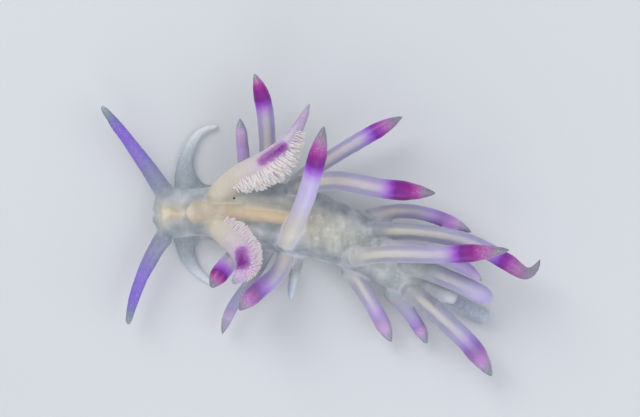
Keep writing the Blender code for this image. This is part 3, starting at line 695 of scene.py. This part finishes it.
def papillaGrid(side, seed):
    # Each papilla: root + out * t * length + ahead * bend * t^2, with a small ring around it at each t.
    draw, uneven = np.random.default_rng(seed), papillae["uneven"]
    path, radii = limbPath("rhino", side)
    rows, perRow = papillae["rows"], papillae["perRow"][side]
    row, number = np.meshgrid(np.arange(rows), np.arange(perRow), indexing="ij")
    row, number = row.ravel(), number.ravel()
    count = rows * perRow
    along = (number + (row % 2) * 0.5 + draw.uniform(-1, 1, count) * uneven["along"]) / (perRow - 0.5)
    start, end = papillae["range"][side]
    share = start + (end - start) * along
    shares = np.linspace(0, 1, len(path))
    centre = readTable(np.column_stack([shares, path]), share)
    ahead = unit(readTable(np.column_stack([shares, np.gradient(path, axis=0)]), share))
    radius = np.interp(share, shares, radii)
    rearward = np.array(papillae["rearward"][side])
    rearward = unit(rearward - ahead * (ahead @ rearward)[:, None])
    aside = np.cross(ahead, rearward)
    angle = papillae["spread"][side] * (row / (rows - 1) * 2 - 1) + draw.uniform(-1, 1, count) * uneven["turn"]
    turn = np.radians(angle)[:, None]
    fold = turn * papillae["fold"]
    outward = np.cos(turn) * rearward + np.sin(turn) * aside
    heading = np.cos(fold) * rearward + np.sin(fold) * aside
    lean = np.interp(along, (0, 1), papillae["lean"]) + draw.uniform(-1, 1, count) * uneven["lean"]
    lean = np.radians(lean)[:, None]
    out = np.cos(lean) * heading + np.sin(lean) * ahead
    fade = papillae["sideways"] + (1 - papillae["sideways"]) * np.cos(turn[:, 0])
    length = readTable(papillae["lengths"][side], along)[:, 0] * draw.uniform(*uneven["length"], count) * fade
    root = centre + outward * (radius * papillae["rooted"])[:, None]
    length = (length + radius * (1 - papillae["rooted"]))[:, None]
    t = np.array([step for step, _ in papillae["shape"]])[None, :, None]
    thick = np.array([size for _, size in papillae["shape"]])[None, :] * papillae["radius"]
    spine = root[:, None] + out[:, None] * t * length[:, None] + ahead[:, None] * papillae["bend"] * t**2
    across = unit(np.cross(out, ahead))[:, None, None]
    up = np.cross(out, across[:, 0, 0])[:, None, None]
    angles = np.linspace(0, 2 * math.pi, papillae["sides"], endpoint=False)[None, None, :, None]
    ring = np.cos(angles) * across + np.sin(angles) * up
    grown = (thick * np.clip(length, *papillae["thinner"]))[:, :, None, None]
    points = spine[:, :, None] + grown * ring
    tips = root + out * length + ahead * papillae["bend"]
    kept = np.minimum(patchDistance(root, side)[0], patchDistance(tips, side)[0]) > papillae["clear"]
    return points[kept], tips[kept], root[kept]


def makePapillae(side, seed):
    points, tips, roots = papillaGrid(side, seed)
    count, steps, around = points.shape[:3]
    start = np.arange(count)[:, None, None] * steps * around
    row = np.arange(steps - 1)[None, :, None] * around
    here = np.arange(around)[None, None]
    after = (here + 1) % around
    low = start + row
    high = low + around
    quads = np.stack([low + here, low + after, high + after, high + here], axis=3)
    first, here, after = start[:, 0], here[0], after[0]
    last = first + (steps - 1) * around
    tip = (count * steps * around + np.arange(count))[:, None] + 0 * here
    fans = np.stack([last + here, last + after, tip], axis=2)
    rootFans = np.stack([first + here, tip + count, first + after], axis=2)
    allPoints = np.concatenate([points.reshape(-1, 3), tips, roots]) + rowShift
    faces = [part.reshape(-1, part.shape[-1]).tolist() for part in (quads, fans, rootFans)]
    piece = makePiece("papillae_" + side, allPoints, sum(faces, []))
    steps = np.repeat(np.tile([step for step, _ in papillae["shape"]], count), around)
    paler = papillae["paler"][side]
    setAttribute(piece.data, "papillaShare", paler * np.concatenate([steps, np.ones(count), np.zeros(count)]))
    return piece


papillaPieces = [makePapillae(side, seed) for seed, side in enumerate(sides)]
print("papillae made")


# The eyes, small beads just under the skin

eye = {"radius": 0.15, "sink": 0.05}


def makeEye(side):  # sphere on the middle of the solid eye's box, a little lower
    low, high = (np.array(corner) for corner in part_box("eye_" + side))
    centre = (low + high) / 2 / mm - np.array([0, 0, eye["sink"]])
    return makePiece("bead_" + side, *gatherGrids([ballGrid(centre, [eye["radius"]] * 3, 20, 0.1)]))


eyes = {side: makeEye(side) for side in sides}
print("eyes made")


# Materials


def tone(red, green, blue):  # screen colour from 0 to 255 to the linear colour that nodes take
    screen = np.array([red, green, blue]) / 255
    linear = np.where(screen <= 0.04045, screen / 12.92, ((screen + 0.055) / 1.055) ** 2.4)
    return (*linear.tolist(), 1.0)


def shades(*stops):  # stops of a ramp, each given as its place, red, green and blue
    return tuple((place, tone(*colour)) for place, *colour in stops)


def put(tree, kind, inputs=None, **settings):  # one node, its sockets linked or set
    made = tree.nodes.new("ShaderNode" + kind)
    for key, value in settings.items():
        setattr(made, key, value)
    for key, value in (inputs or {}).items():
        link(made, key, value)
    return made


def link(node, key, value):  # a node's input from another node's socket, or set to a plain value
    if isinstance(value, bpy.types.NodeSocket):
        node.id_data.links.new(value, node.inputs[key])
    else:
        node.inputs[key].default_value = value


def treeOf(*values):  # the node tree of the sockets among the values
    return next(value.id_data for value in values if isinstance(value, bpy.types.NodeSocket))


def calc(operation, *values):  # a Math node's result
    return put(treeOf(*values), "Math", dict(enumerate(values)), operation=operation).outputs[0]


def times(*values):
    return reduce(partial(calc, "MULTIPLY"), values)


def plus(*values):
    return reduce(partial(calc, "ADD"), values)


def minus(start, value):
    return calc("SUBTRACT", start, value)


def highest(*values):
    return reduce(partial(calc, "MAXIMUM"), values)


def mixColour(factor, low, high):  # low where factor is 0, high where it is 1
    return put(treeOf(factor, low, high), "Mix", {0: factor, 6: low, 7: high}, data_type="RGBA").outputs[2]


def mixValue(factor, low, high):
    return put(treeOf(factor), "Mix", {0: factor, 2: low, 3: high}, data_type="FLOAT").outputs[0]


def ramp(factor, stops, reach=1.0):  # colours or values at places from 0 to reach, smooth between
    node = put(treeOf(factor), "ValToRGB", {"Fac": calc("DIVIDE", factor, reach)})
    while len(node.color_ramp.elements) < len(stops):
        node.color_ramp.elements.new(0.5)
    for element, (place, value) in zip(node.color_ramp.elements, stops):
        element.position = place / reach
        element.color = value if isinstance(value, tuple) else (value, value, value, 1.0)
    return node.outputs["Color"]


def mark(tree, name):  # a number that was left on the mesh
    return put(tree, "Attribute", attribute_name=name, attribute_type="GEOMETRY").outputs["Fac"]


def placeInMm(tree):  # Object coordinates in millimetres
    where = put(tree, "TexCoord").outputs["Object"]
    return put(tree, "Mapping", {"Vector": where, "Scale": (1 / mm,) * 3}).outputs["Vector"]


def cloud(where, scale, detail=3.0):
    return put(treeOf(where), "TexNoise", {"Vector": where, "Scale": scale, "Detail": detail}).outputs["Fac"]


def clamped(value):
    return put(treeOf(value), "Clamp", {"Value": value}).outputs[0]


def newGroup(name, inputs, outputs):
    tree = bpy.data.node_groups.new(name, "ShaderNodeTree")
    for label, default in inputs:
        socket = tree.interface.new_socket(label, in_out="INPUT", socket_type="NodeSocketFloat")
        socket.default_value = default
    for label in outputs:
        tree.interface.new_socket(label, in_out="OUTPUT", socket_type="NodeSocketFloat")
    return tree, tree.nodes.new("NodeGroupInput").outputs, tree.nodes.new("NodeGroupOutput")


def makeSpecks():
    # Round granules in the skin: 1 near the middle of each cell of a crackle, 0 away from it, and
    # none of them where a broad cloud is high.
    inputs = (("Per mm", 3.0), ("Size", 0.25), ("Plenty", 0.5))
    tree, given, out = newGroup("specks", inputs, ("Mask", "Height"))
    where = placeInMm(tree)
    cells = put(tree, "TexVoronoi", {"Vector": where, "Scale": given["Per mm"]}).outputs["Distance"]
    inside = minus(1.0, calc("DIVIDE", cells, given["Size"]))
    dots = clamped(times(inside, 2.5))
    kept = calc("LESS_THAN", cloud(where, 0.9, 2.0), given["Plenty"])
    link(out, "Mask", times(dots, kept))
    link(out, "Height", plus(dots, cloud(where, 6.0)))
    return tree


def makeMottle():
    # Soft cloud stretched to run from 0 to 1.
    tree, given, out = newGroup("mottle", (("Per mm", 0.6), ("Contrast", 3.0)), ("Mask",))
    even = cloud(placeInMm(tree), given["Per mm"], 4.0)
    link(out, "Mask", clamped(plus(times(minus(even, 0.5), given["Contrast"]), 0.5)))
    return tree


specksGroup = makeSpecks()
mottleGroup = makeMottle()


def useGroup(tree, group, *values):  # a group's node with its inputs set, in their order
    node = tree.nodes.new("ShaderNodeGroup")
    node.node_tree = group
    for socket, value in zip(node.inputs, values):
        socket.default_value = value
    return node.outputs


def useMottle(tree, perMm, contrast):
    return useGroup(tree, mottleGroup, perMm, contrast)["Mask"]


def newMaterial(name, **fixed):  # a material with its shader's plain sockets set
    material = bpy.data.materials.new(name)
    material.use_nodes = True
    shader = material.node_tree.nodes["Principled BSDF"]
    for key, value in fixed.items():
        link(shader, key.replace("_", " "), value)
    return material, material.node_tree, shader


def addRelief(tree, shader, height, strength, distance):
    bump = put(tree, "Bump", {"Height": height, "Strength": strength, "Distance": distance})
    link(shader, "Normal", bump.outputs["Normal"])


look = {
    "backVeil": tone(196, 200, 204),
    "backShade": tone(138, 150, 156),
    "backCream": tone(200, 195, 176),
    "granule": tone(222, 218, 200),
    "headCream": tone(202, 192, 168),
    "headOrange": tone(204, 172, 132),
    "stripe": tone(208, 178, 134),
    # painted shade: the far wall's colour seen from inside the body, darker than the skin
    "inside": tone(92, 102, 114),
    "cerasPlain": tone(176, 168, 210),
    "cerasMilk": tone(188, 172, 204),
    "whiteTip": tone(180, 188, 200),
    "cerasCream": tone(196, 190, 174),
    "cerasGrey": tone(182, 188, 190),
    # painted shade: the far wall's colours seen from inside a ceras
    "cerasInsideShade": tone(150, 152, 184),
    "cerasDeepShade": tone(150, 157, 158),
    # painted highlight: the pale rim along the edges of the cerata
    "rim": tone(186, 182, 216),
    "cerasTip": tone(116, 116, 126),
    "tail": tone(194, 202, 212),
    "tailShade": tone(158, 167, 180),
    "rootLine": tone(206, 206, 218),
    "patch": tone(106, 0, 118),
    "patchHalo": tone(178, 116, 190),
    "lilac": tone(190, 160, 196),
    "cornerVeil": tone(208, 216, 222),
    "cornerShade": tone(142, 153, 162),
    "speck": tone(232, 230, 232),
}
bandColours = shades(  # along a ceras from its tip, in steps of the band: 1 to 2 is the magenta itself
    (0.0, 116, 114, 124), (0.45, 128, 108, 134), (0.72, 158, 92, 152), (1.0, 148, 38, 138),
    (1.3, 124, 0, 120), (1.85, 104, 0, 126), (2.1, 134, 52, 176), (2.45, 162, 116, 202),
    (3.0, 174, 152, 208),
)
bandViolet = shades(
    (0.0, 110, 108, 126), (0.45, 124, 110, 142), (0.85, 158, 104, 168), (1.2, 146, 66, 168),
    (1.7, 118, 36, 164), (2.05, 136, 88, 198), (2.5, 160, 136, 214), (3.0, 174, 162, 216),
)
bandCover = (
    (0.0, 0.72), (0.5, 0.7), (0.9, 0.85), (1.15, 0.97), (1.95, 0.97), (2.2, 0.85), (2.7, 0.6), (3.6, 0.32),
)
tentacleColours = shades(
    (0.0, 164, 172, 188), (0.2, 142, 142, 182), (0.4, 130, 106, 196), (0.72, 120, 88, 190),
    (0.83, 112, 108, 168), (0.9, 118, 134, 148), (1.0, 146, 160, 166),
)
rhinoColours = shades(
    (0.0, 202, 192, 168), (0.28, 196, 188, 178), (0.45, 192, 180, 186), (0.7, 180, 176, 190),
    (0.8, 174, 160, 188), (0.88, 174, 148, 182), (0.93, 162, 148, 176), (0.97, 148, 144, 162),
)


def skinGuides(tree):
    # What the skin's colours follow: the marks on its points, clouds and granules, and sums of these.
    on = SimpleNamespace(**{name: mark(tree, name) for name in skinMarks})
    on.mottle = useMottle(tree, 0.55, 2.2)
    on.fineMottle = useMottle(tree, 2.2, 2.0)
    on.grain = useMottle(tree, 4.5, 2.0)
    on.granules = useGroup(tree, specksGroup, 1.9, 0.42, 0.5)["Mask"]
    specks = useGroup(tree, specksGroup, 8.0, 0.36, 0.55)
    on.specks = specks["Mask"]
    on.relief = plus(specks["Height"], on.fineMottle)
    on.jitter = times(minus(cloud(placeInMm(tree), 1.6), 0.5), 0.9)
    on.wide = calc("ABSOLUTE", on.bodyOffset)
    on.step = plus(on.band, times(on.jitter, 0.3))
    on.lavender = times(on.violet, ramp(on.cerasShare, ((0.05, 0.15), (0.3, 0.55), (0.55, 1.0))))
    on.bandCover = alongBand(on, *bandCover)
    return on


def alongBody(on, *stops):  # by distance from the nose
    return ramp(on.bodyPlace, stops, bodyReach)


def fromMiddle(on, *stops):  # by distance from the middle line
    return ramp(on.wide, stops, sideReach)


def alongBand(on, *stops):  # by the steps of a ceras's band
    return ramp(on.step, stops, bandSteps)


def withSpecks(on, share, colour):
    return mixColour(times(on.specks, share), colour, look["speck"])


def backLook(on):
    # Grey with a cream middle, cream shoulders, the orange stripe and granules, and paler at the tail.
    centre = fromMiddle(on, (0.6, 1.0), (2.6, 0.0))
    middle = times(centre, alongBody(
        on, (9.0, 0.0), (13.0, 0.4), (16.0, 0.5), (18.0, 0.5), (21.0, 0.15), (30.0, 0.1)))
    shoulder = times(
        fromMiddle(on, (0.4, 0.0), (0.9, 1.0), (1.7, 0.9), (2.5, 0.0)),
        alongBody(on, (5.0, 0.0), (6.3, 0.85), (8.6, 0.85), (11.4, 0.0)))
    rightBand = times(
        ramp(plus(on.bodyOffset, 1.0), ((0.9, 0.0), (1.5, 1.0), (2.1, 0.9), (3.0, 0.0)), 4.0),
        alongBody(on, (8.0, 0.0), (9.5, 0.85), (13.0, 0.75), (16.5, 0.0)))
    creamy = highest(middle, shoulder, rightBand)
    stripe = times(
        ramp(calc("ABSOLUTE", plus(on.bodyOffset, 0.12)), ((0.1, 0.6), (0.8, 0.0)), sideReach),
        alongBody(on, (6.5, 0.0), (9.5, 1.0), (13.0, 1.0), (16.5, 0.0)))
    granules = times(on.granules, centre, alongBody(on, (11.0, 0.0), (14.0, 0.45), (21.0, 0.45), (30.0, 0.2)))
    tailward = alongBody(on, (28.0, 0.0), (31.5, 1.0))
    colour = mixColour(on.mottle, look["backShade"], look["backVeil"])
    colour = mixColour(creamy, colour, look["backCream"])
    colour = mixColour(stripe, colour, look["stripe"])
    colour = mixColour(granules, colour, look["granule"])
    colour = mixColour(tailward, colour, mixColour(on.grain, look["tailShade"], look["tail"]))
    onGut = times(
        fromMiddle(on, (0.7, 1.0), (1.7, 0.0)), alongBody(on, (3.0, 0.0), (4.0, 1.0), (13.0, 1.0), (16.0, 0.0)))
    cover = highest(
        mixValue(on.mottle, 0.5, 0.7),
        alongBody(on, (29.0, 0.0), (31.0, 0.5), (34.5, 0.8)),
        alongBody(on, (22.0, 0.0), (24.5, 0.74), (30.0, 0.74)),
        alongBody(on, (0.0, 0.6), (3.0, 0.66), (4.2, 0.0)))
    cover = mixValue(onGut, cover, mixValue(on.mottle, 0.28, 0.42))
    return colour, highest(cover, times(highest(creamy, stripe), 0.75))


def headLook(on, colour, cover):
    # A cream mark on the back of the head, narrowest 2.5 mm from the nose, with an orange heart.
    waist = calc("ABSOLUTE", minus(on.bodyPlace, 2.5))
    beyond = minus(plus(on.wide, times(on.jitter, 1.3)), plus(0.5, times(waist, 0.42)))
    headMark = times(
        ramp(plus(beyond, 0.7), ((0.0, 1.0), (1.5, 0.0)), 2.0),
        alongBody(on, (0.3, 0.0), (1.2, 0.95), (3.2, 0.85), (4.3, 0.0)))
    fromHeart = plus(calc("ABSOLUTE", minus(on.bodyPlace, 2.2)), on.wide)
    colour = mixColour(headMark, colour, look["headCream"])
    colour = mixColour(ramp(fromHeart, ((0.1, 0.6), (1.2, 0.0)), 2.0), colour, look["headOrange"])
    return colour, highest(cover, headMark)


def cerasLook(on):
    # A clear wall from grey to lavender, the magenta or violet band, and a grey tip with specks.
    share = on.cerasShare
    whiteEnd = times(minus(1.0, on.violet), on.milk, ramp(share, ((0.55, 0.0), (0.68, 1.0))))
    cream = times(on.cloudy, ramp(share, ((0.05, 1.4), (0.2, 1.1), (0.45, 0.0))))
    colour = mixColour(on.lavender, look["cerasGrey"], look["cerasPlain"])
    colour = mixColour(times(on.milk, on.lavender), colour, look["cerasMilk"])
    colour = mixColour(whiteEnd, colour, look["whiteTip"])
    colour = mixColour(cream, colour, look["cerasCream"])
    pigment = mixColour(on.magenta, alongBand(on, *bandViolet), alongBand(on, *bandColours))
    colour = mixColour(times(on.power, alongBand(on, (2.4, 1.0), (3.25, 0.0))), colour, pigment)
    colour = mixColour(alongBand(on, (0.0, 0.9), (0.4, 0.75), (0.8, 0.0)), colour, look["cerasTip"])
    tipMark = alongBand(on, (0.0, 1.0), (0.8, 0.85), (1.3, 0.0))
    colour = withSpecks(on, times(tipMark, 0.4), colour)
    wall = ramp(share, ((0.0, 0.62), (0.2, 0.26), (0.45, 0.2), (0.65, 0.36), (0.8, 0.62), (1.0, 0.72)))
    wall = plus(wall, times(on.milk, ramp(share, ((0.3, 0.0), (0.65, 1.0)))), on.cloudy)
    cover = times(highest(on.power, times(tipMark, 0.8)), on.bandCover)
    return colour, calc("MINIMUM", highest(wall, cover), 0.97)


def tentacleLook(on):
    # Violet that greys at the root and turns grey at the tip.
    share = plus(on.tentacleShare, times(on.jitter, 0.12))
    cover = ramp(share, ((0.0, 0.35), (0.25, 0.52), (0.5, 0.78), (0.8, 0.86), (1.0, 0.74)))
    return withSpecks(on, 0.25, ramp(share, tentacleColours)), cover


def rhinoLook(on):
    # Cream to pale violet, more lilac on the animal's left, with the magenta patch in its halo.
    colour = ramp(plus(on.rhinoShare, times(on.jitter, 0.1)), rhinoColours)
    lilac = times(
        calc("LESS_THAN", on.bodyOffset, 0.0),
        ramp(on.rhinoShare, ((0.5, 0.0), (0.65, 0.8), (0.93, 0.8), (0.99, 0.3))))
    colour = withSpecks(on, 0.4, mixColour(lilac, colour, look["lilac"]))
    patch = plus(on.patch, times(minus(on.grain, 0.5), 0.3))
    core = ramp(patch, ((0.2, 0.0), (0.5, 0.55), (0.95, 1.0)))
    colour = mixColour(ramp(patch, ((0.08, 0.0), (0.4, 0.75))), colour, look["patchHalo"])
    return mixColour(core, colour, look["patch"]), mixValue(core, 0.86, 0.98)


def cornerLook(on):
    # The foot's corners: clear at the root, whiter toward the tip.
    paler = ramp(on.cornerShare, ((0.0, 0.1), (0.35, 0.35), (0.7, 0.9), (1.0, 1.0)))
    veiled = plus(times(on.grain, 0.3), times(paler, 0.75))
    colour = mixColour(veiled, look["cornerShade"], look["cornerVeil"])
    return withSpecks(on, 0.35, colour), mixValue(paler, 0.5, 0.85)


def skinMaterial():
    material, tree, shader = newMaterial(
        "wetSkin", IOR=1.38, Subsurface_Weight=0.12, Subsurface_Scale=0.0006, Coat_Roughness=0.22,
        Sheen_Weight=0.12, Sheen_Roughness=0.4, Subsurface_Radius=(1.0, 0.75, 0.85),
        Sheen_Tint=tone(220, 212, 240))
    on = skinGuides(tree)
    colour, cover = headLook(on, *backLook(on))
    colour = mixColour(times(on.rootLine, 0.7), colour, look["rootLine"])
    cover = highest(cover, times(on.rootLine, 0.75))
    for part, (partColour, partCover) in (
            (on.cornerPart, cornerLook(on)), (on.tentaclePart, tentacleLook(on)),
            (on.rhinoPart, rhinoLook(on)), (on.cerasPart, cerasLook(on))):
        colour = mixColour(part, colour, partColour)
        cover = mixValue(part, cover, partCover)

    # seen from inside, the far wall closes the view; it is coloured darker than the skin, painted shade for the
    # dark seen through the body
    ray = put(tree, "LightPath").outputs
    farWall = times(put(tree, "NewGeometry").outputs["Backfacing"], ray["Is Camera Ray"])
    cerasInsideShade = mixColour(on.lavender, look["cerasDeepShade"], look["cerasInsideShade"])
    inside = mixColour(on.cerasPart, look["inside"], cerasInsideShade)
    inside = mixColour(on.fineMottle, inside, mixColour(0.35, inside, look["backVeil"]))
    colour = mixColour(farWall, colour, inside)

    # at a slant the wall is thicker, and where there is no pigment a pale rim is painted in as a highlight
    # along the edges
    slant = calc("POWER", put(tree, "LayerWeight", {"Blend": 0.5}).outputs["Facing"], 2.2)
    paintedRimHighlight = times(slant, 0.55, minus(1.0, times(on.power, on.bandCover)), on.cerasPart)
    cover = highest(mixValue(times(slant, 0.85), cover, 1.0), farWall)
    link(shader, "Base Color", mixColour(paintedRimHighlight, colour, look["rim"]))
    link(shader, "Alpha", mixValue(ray["Is Shadow Ray"], cover, times(cover, 0.45)))
    link(shader, "Roughness", mixValue(on.fineMottle, 0.42, 0.58))
    link(shader, "Coat Weight", mixValue(on.mottle, 0.14, 0.3))
    addRelief(tree, shader, on.relief, 0.25, 0.00004)
    return material


def gutMaterial(name, places, paintedGlow, clear, contrast):
    # Two tones mottled together and changing along the body, with a faint painted glow from emission as if lit
    # from within, clearer at its edges.
    material, tree, shader = newMaterial(
        name, IOR=1.38, Subsurface_Weight=0.1, Subsurface_Scale=0.0005, Emission_Strength=paintedGlow)
    mottle = useMottle(tree, 1.1, contrast)
    specks = useGroup(tree, specksGroup, 3.0, 0.4, 0.5)
    colour = ramp(mark(tree, "gutPlace"), places, bodyReach)
    colour = mixColour(times(mottle, 0.3), colour, look["granule"])
    colour = mixColour(times(specks["Mask"], 0.12), colour, look["granule"])
    slant = put(tree, "LayerWeight", {"Blend": 0.5}).outputs["Facing"]
    link(shader, "Base Color", colour)
    link(shader, "Emission Color", colour)
    link(shader, "Roughness", mixValue(mottle, 0.5, 0.7))
    link(shader, "Alpha", times(ramp(slant, clear), mark(tree, "gutShown")))
    addRelief(tree, shader, specks["Height"], 0.2, 0.00003)
    return material


glandPlaces = shades(  # by distance from the nose
    (10.0, 212, 184, 148), (15.0, 204, 188, 160), (18.5, 178, 174, 158), (24.0, 162, 168, 162),
)
pharynxPlaces = shades(
    (3.4, 226, 204, 164), (3.9, 214, 190, 150), (4.4, 182, 154, 114), (6.5, 188, 160, 118),
    (9.0, 196, 168, 130), (12.5, 200, 173, 134), (15.0, 200, 180, 148),
)
branchPlaces = shades((3.0, 206, 194, 152), (18.0, 202, 193, 156), (30.0, 188, 189, 166))
tubeClear = ((0.0, 1.0), (0.08, 0.85), (0.25, 0.5), (0.5, 0.2), (0.75, 0.0))  # cover at each slant
branchClear = ((0.0, 1.0), (0.6, 0.9), (1.0, 0.1))


def papillaMaterial():
    # emission gives the papillae a faint painted glow that lightens the shade between them
    material, tree, shader = newMaterial(
        "papillaSkin", IOR=1.38, Subsurface_Weight=0.2, Subsurface_Scale=0.0003, Sheen_Weight=0.2,
        Sheen_Roughness=0.5, Emission_Strength=0.16)
    share = mark(tree, "papillaShare")
    fineMottle = useMottle(tree, 3.0, 2.0)
    stops = shades((0.0, 190, 179, 186), (0.45, 195, 190, 192), (1.0, 204, 204, 200))
    colour = mixColour(times(fineMottle, 0.15), ramp(share, stops), tone(186, 172, 186))
    cover = mixValue(share, 0.9, 0.75)
    shadow = put(tree, "LightPath").outputs["Is Shadow Ray"]
    link(shader, "Base Color", colour)
    link(shader, "Emission Color", colour)
    link(shader, "Alpha", mixValue(shadow, cover, times(cover, 0.2)))
    link(shader, "Roughness", mixValue(fineMottle, 0.5, 0.65))
    return material


def eyeMaterial():
    material, tree, shader = newMaterial("eyeBead", IOR=1.4, Coat_Roughness=0.05)
    mottle = useMottle(tree, 7.0, 2.5)
    link(shader, "Base Color", mixColour(mottle, tone(10, 10, 16), tone(34, 30, 46)))
    link(shader, "Roughness", mixValue(mottle, 0.12, 0.25))
    link(shader, "Coat Weight", mixValue(mottle, 1.0, 0.8))
    return material


def floorMaterial():
    material, tree, shader = newMaterial("paleFloor")
    mottle = useMottle(tree, 0.02, 1.0)
    link(shader, "Base Color", mixColour(mottle, tone(186, 188, 192), tone(192, 194, 198)))
    link(shader, "Roughness", mixValue(mottle, 0.75, 0.85))
    return material


papillaFinish, eyeFinish = papillaMaterial(), eyeMaterial()
for piece, material in (
    (skin, skinMaterial()),
    (gland, gutMaterial("glandTissue", glandPlaces, 0.06, tubeClear, 1.6)),
    (pharynx, gutMaterial("pharynxTissue", pharynxPlaces, 0.08, tubeClear, 1.4)),
    (branches, gutMaterial("branchTissue", branchPlaces, 0.06, branchClear, 1.4)),
    *((piece, papillaFinish) for piece in papillaPieces),
    *((piece, eyeFinish) for piece in eyes.values()),
):
    piece.data.materials.append(material)
print("materials made")


# Frame calls

fleshNodes = ["head", "tail", *("trunk_" + length for length in ("front", "middle", "rear"))]
fleshNodes += ["foot_" + length for length in ("front", "middle", "rear")]
fleshNodes += [kind + side for kind in ("foot_corner_", "oral_tentacle_", "rhinophore_") for side in sides]
fleshNodes += ["ceras_" + name for name in cerata]
for piece in (skin, gland, pharynx, branches, *papillaPieces, *eyes.values()):
    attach(piece, "root")
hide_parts(*fleshNodes)
for side, piece in eyes.items():
    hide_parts("eye_" + side)


# Floor, light and camera

studio = {
    "floor": 1.2,  # metres across
    "distance": 0.4,
    "fieldWidth": 0.064,  # metres of the plan across the picture
    "sensor": 36.0,
    "sky": 0.7,
    "lamps": {  # place and size in metres, watts and colour
        "key": ((-0.25, 0.3, 0.35), 0.3, 1.8, (1.0, 0.98, 0.95)),
        "fill": ((0.35, -0.1, 0.3), 0.4, 1.0, (0.93, 0.96, 1.0)),
        "rim": ((0.0, -0.4, 0.18), 0.3, 0.7, (1.0, 1.0, 1.0)),
    },
}


def makeFloor():
    half = studio["floor"] / 2
    square = np.array([(-half, -half, 0), (half, -half, 0), (half, half, 0), (-half, half, 0)])
    floor = makePiece("floor", square, [(0, 1, 2, 3)], scale=1.0)
    floor.data.materials.append(floorMaterial())


def makeLight(name, place, size, power, colour):  # a square area light that looks at the animal
    data = bpy.data.lights.new(name, "AREA")
    data.size, data.energy, data.color = size, power, colour
    lamp = bpy.data.objects.new(name, data)
    lamp.location = place
    lamp.rotation_euler = (-Vector(place)).to_track_quat("-Z", "Y").to_euler()
    bpy.context.scene.collection.objects.link(lamp)


def makeStudio():
    makeFloor()
    world = bpy.data.worlds.new("studio")
    bpy.context.scene.world = world
    world.use_nodes = True
    world.node_tree.nodes["Background"].inputs["Color"].default_value = tone(232, 236, 244)
    world.node_tree.nodes["Background"].inputs["Strength"].default_value = studio["sky"]
    for name, lamp in studio["lamps"].items():
        makeLight(name, *lamp)
    camera = bpy.data.objects.new("camera", bpy.data.cameras.new("camera"))
    camera.data.sensor_width = studio["sensor"]
    camera.data.lens = studio["sensor"] * studio["distance"] / studio["fieldWidth"]
    camera.data.clip_start = 0.01
    camera.location = (rowShift[0] * mm, rowShift[1] * mm, studio["distance"])
    bpy.context.scene.collection.objects.link(camera)
    bpy.context.scene.camera = camera
    bpy.context.scene.view_settings.view_transform = "Standard"


makeStudio()
print("studio made")
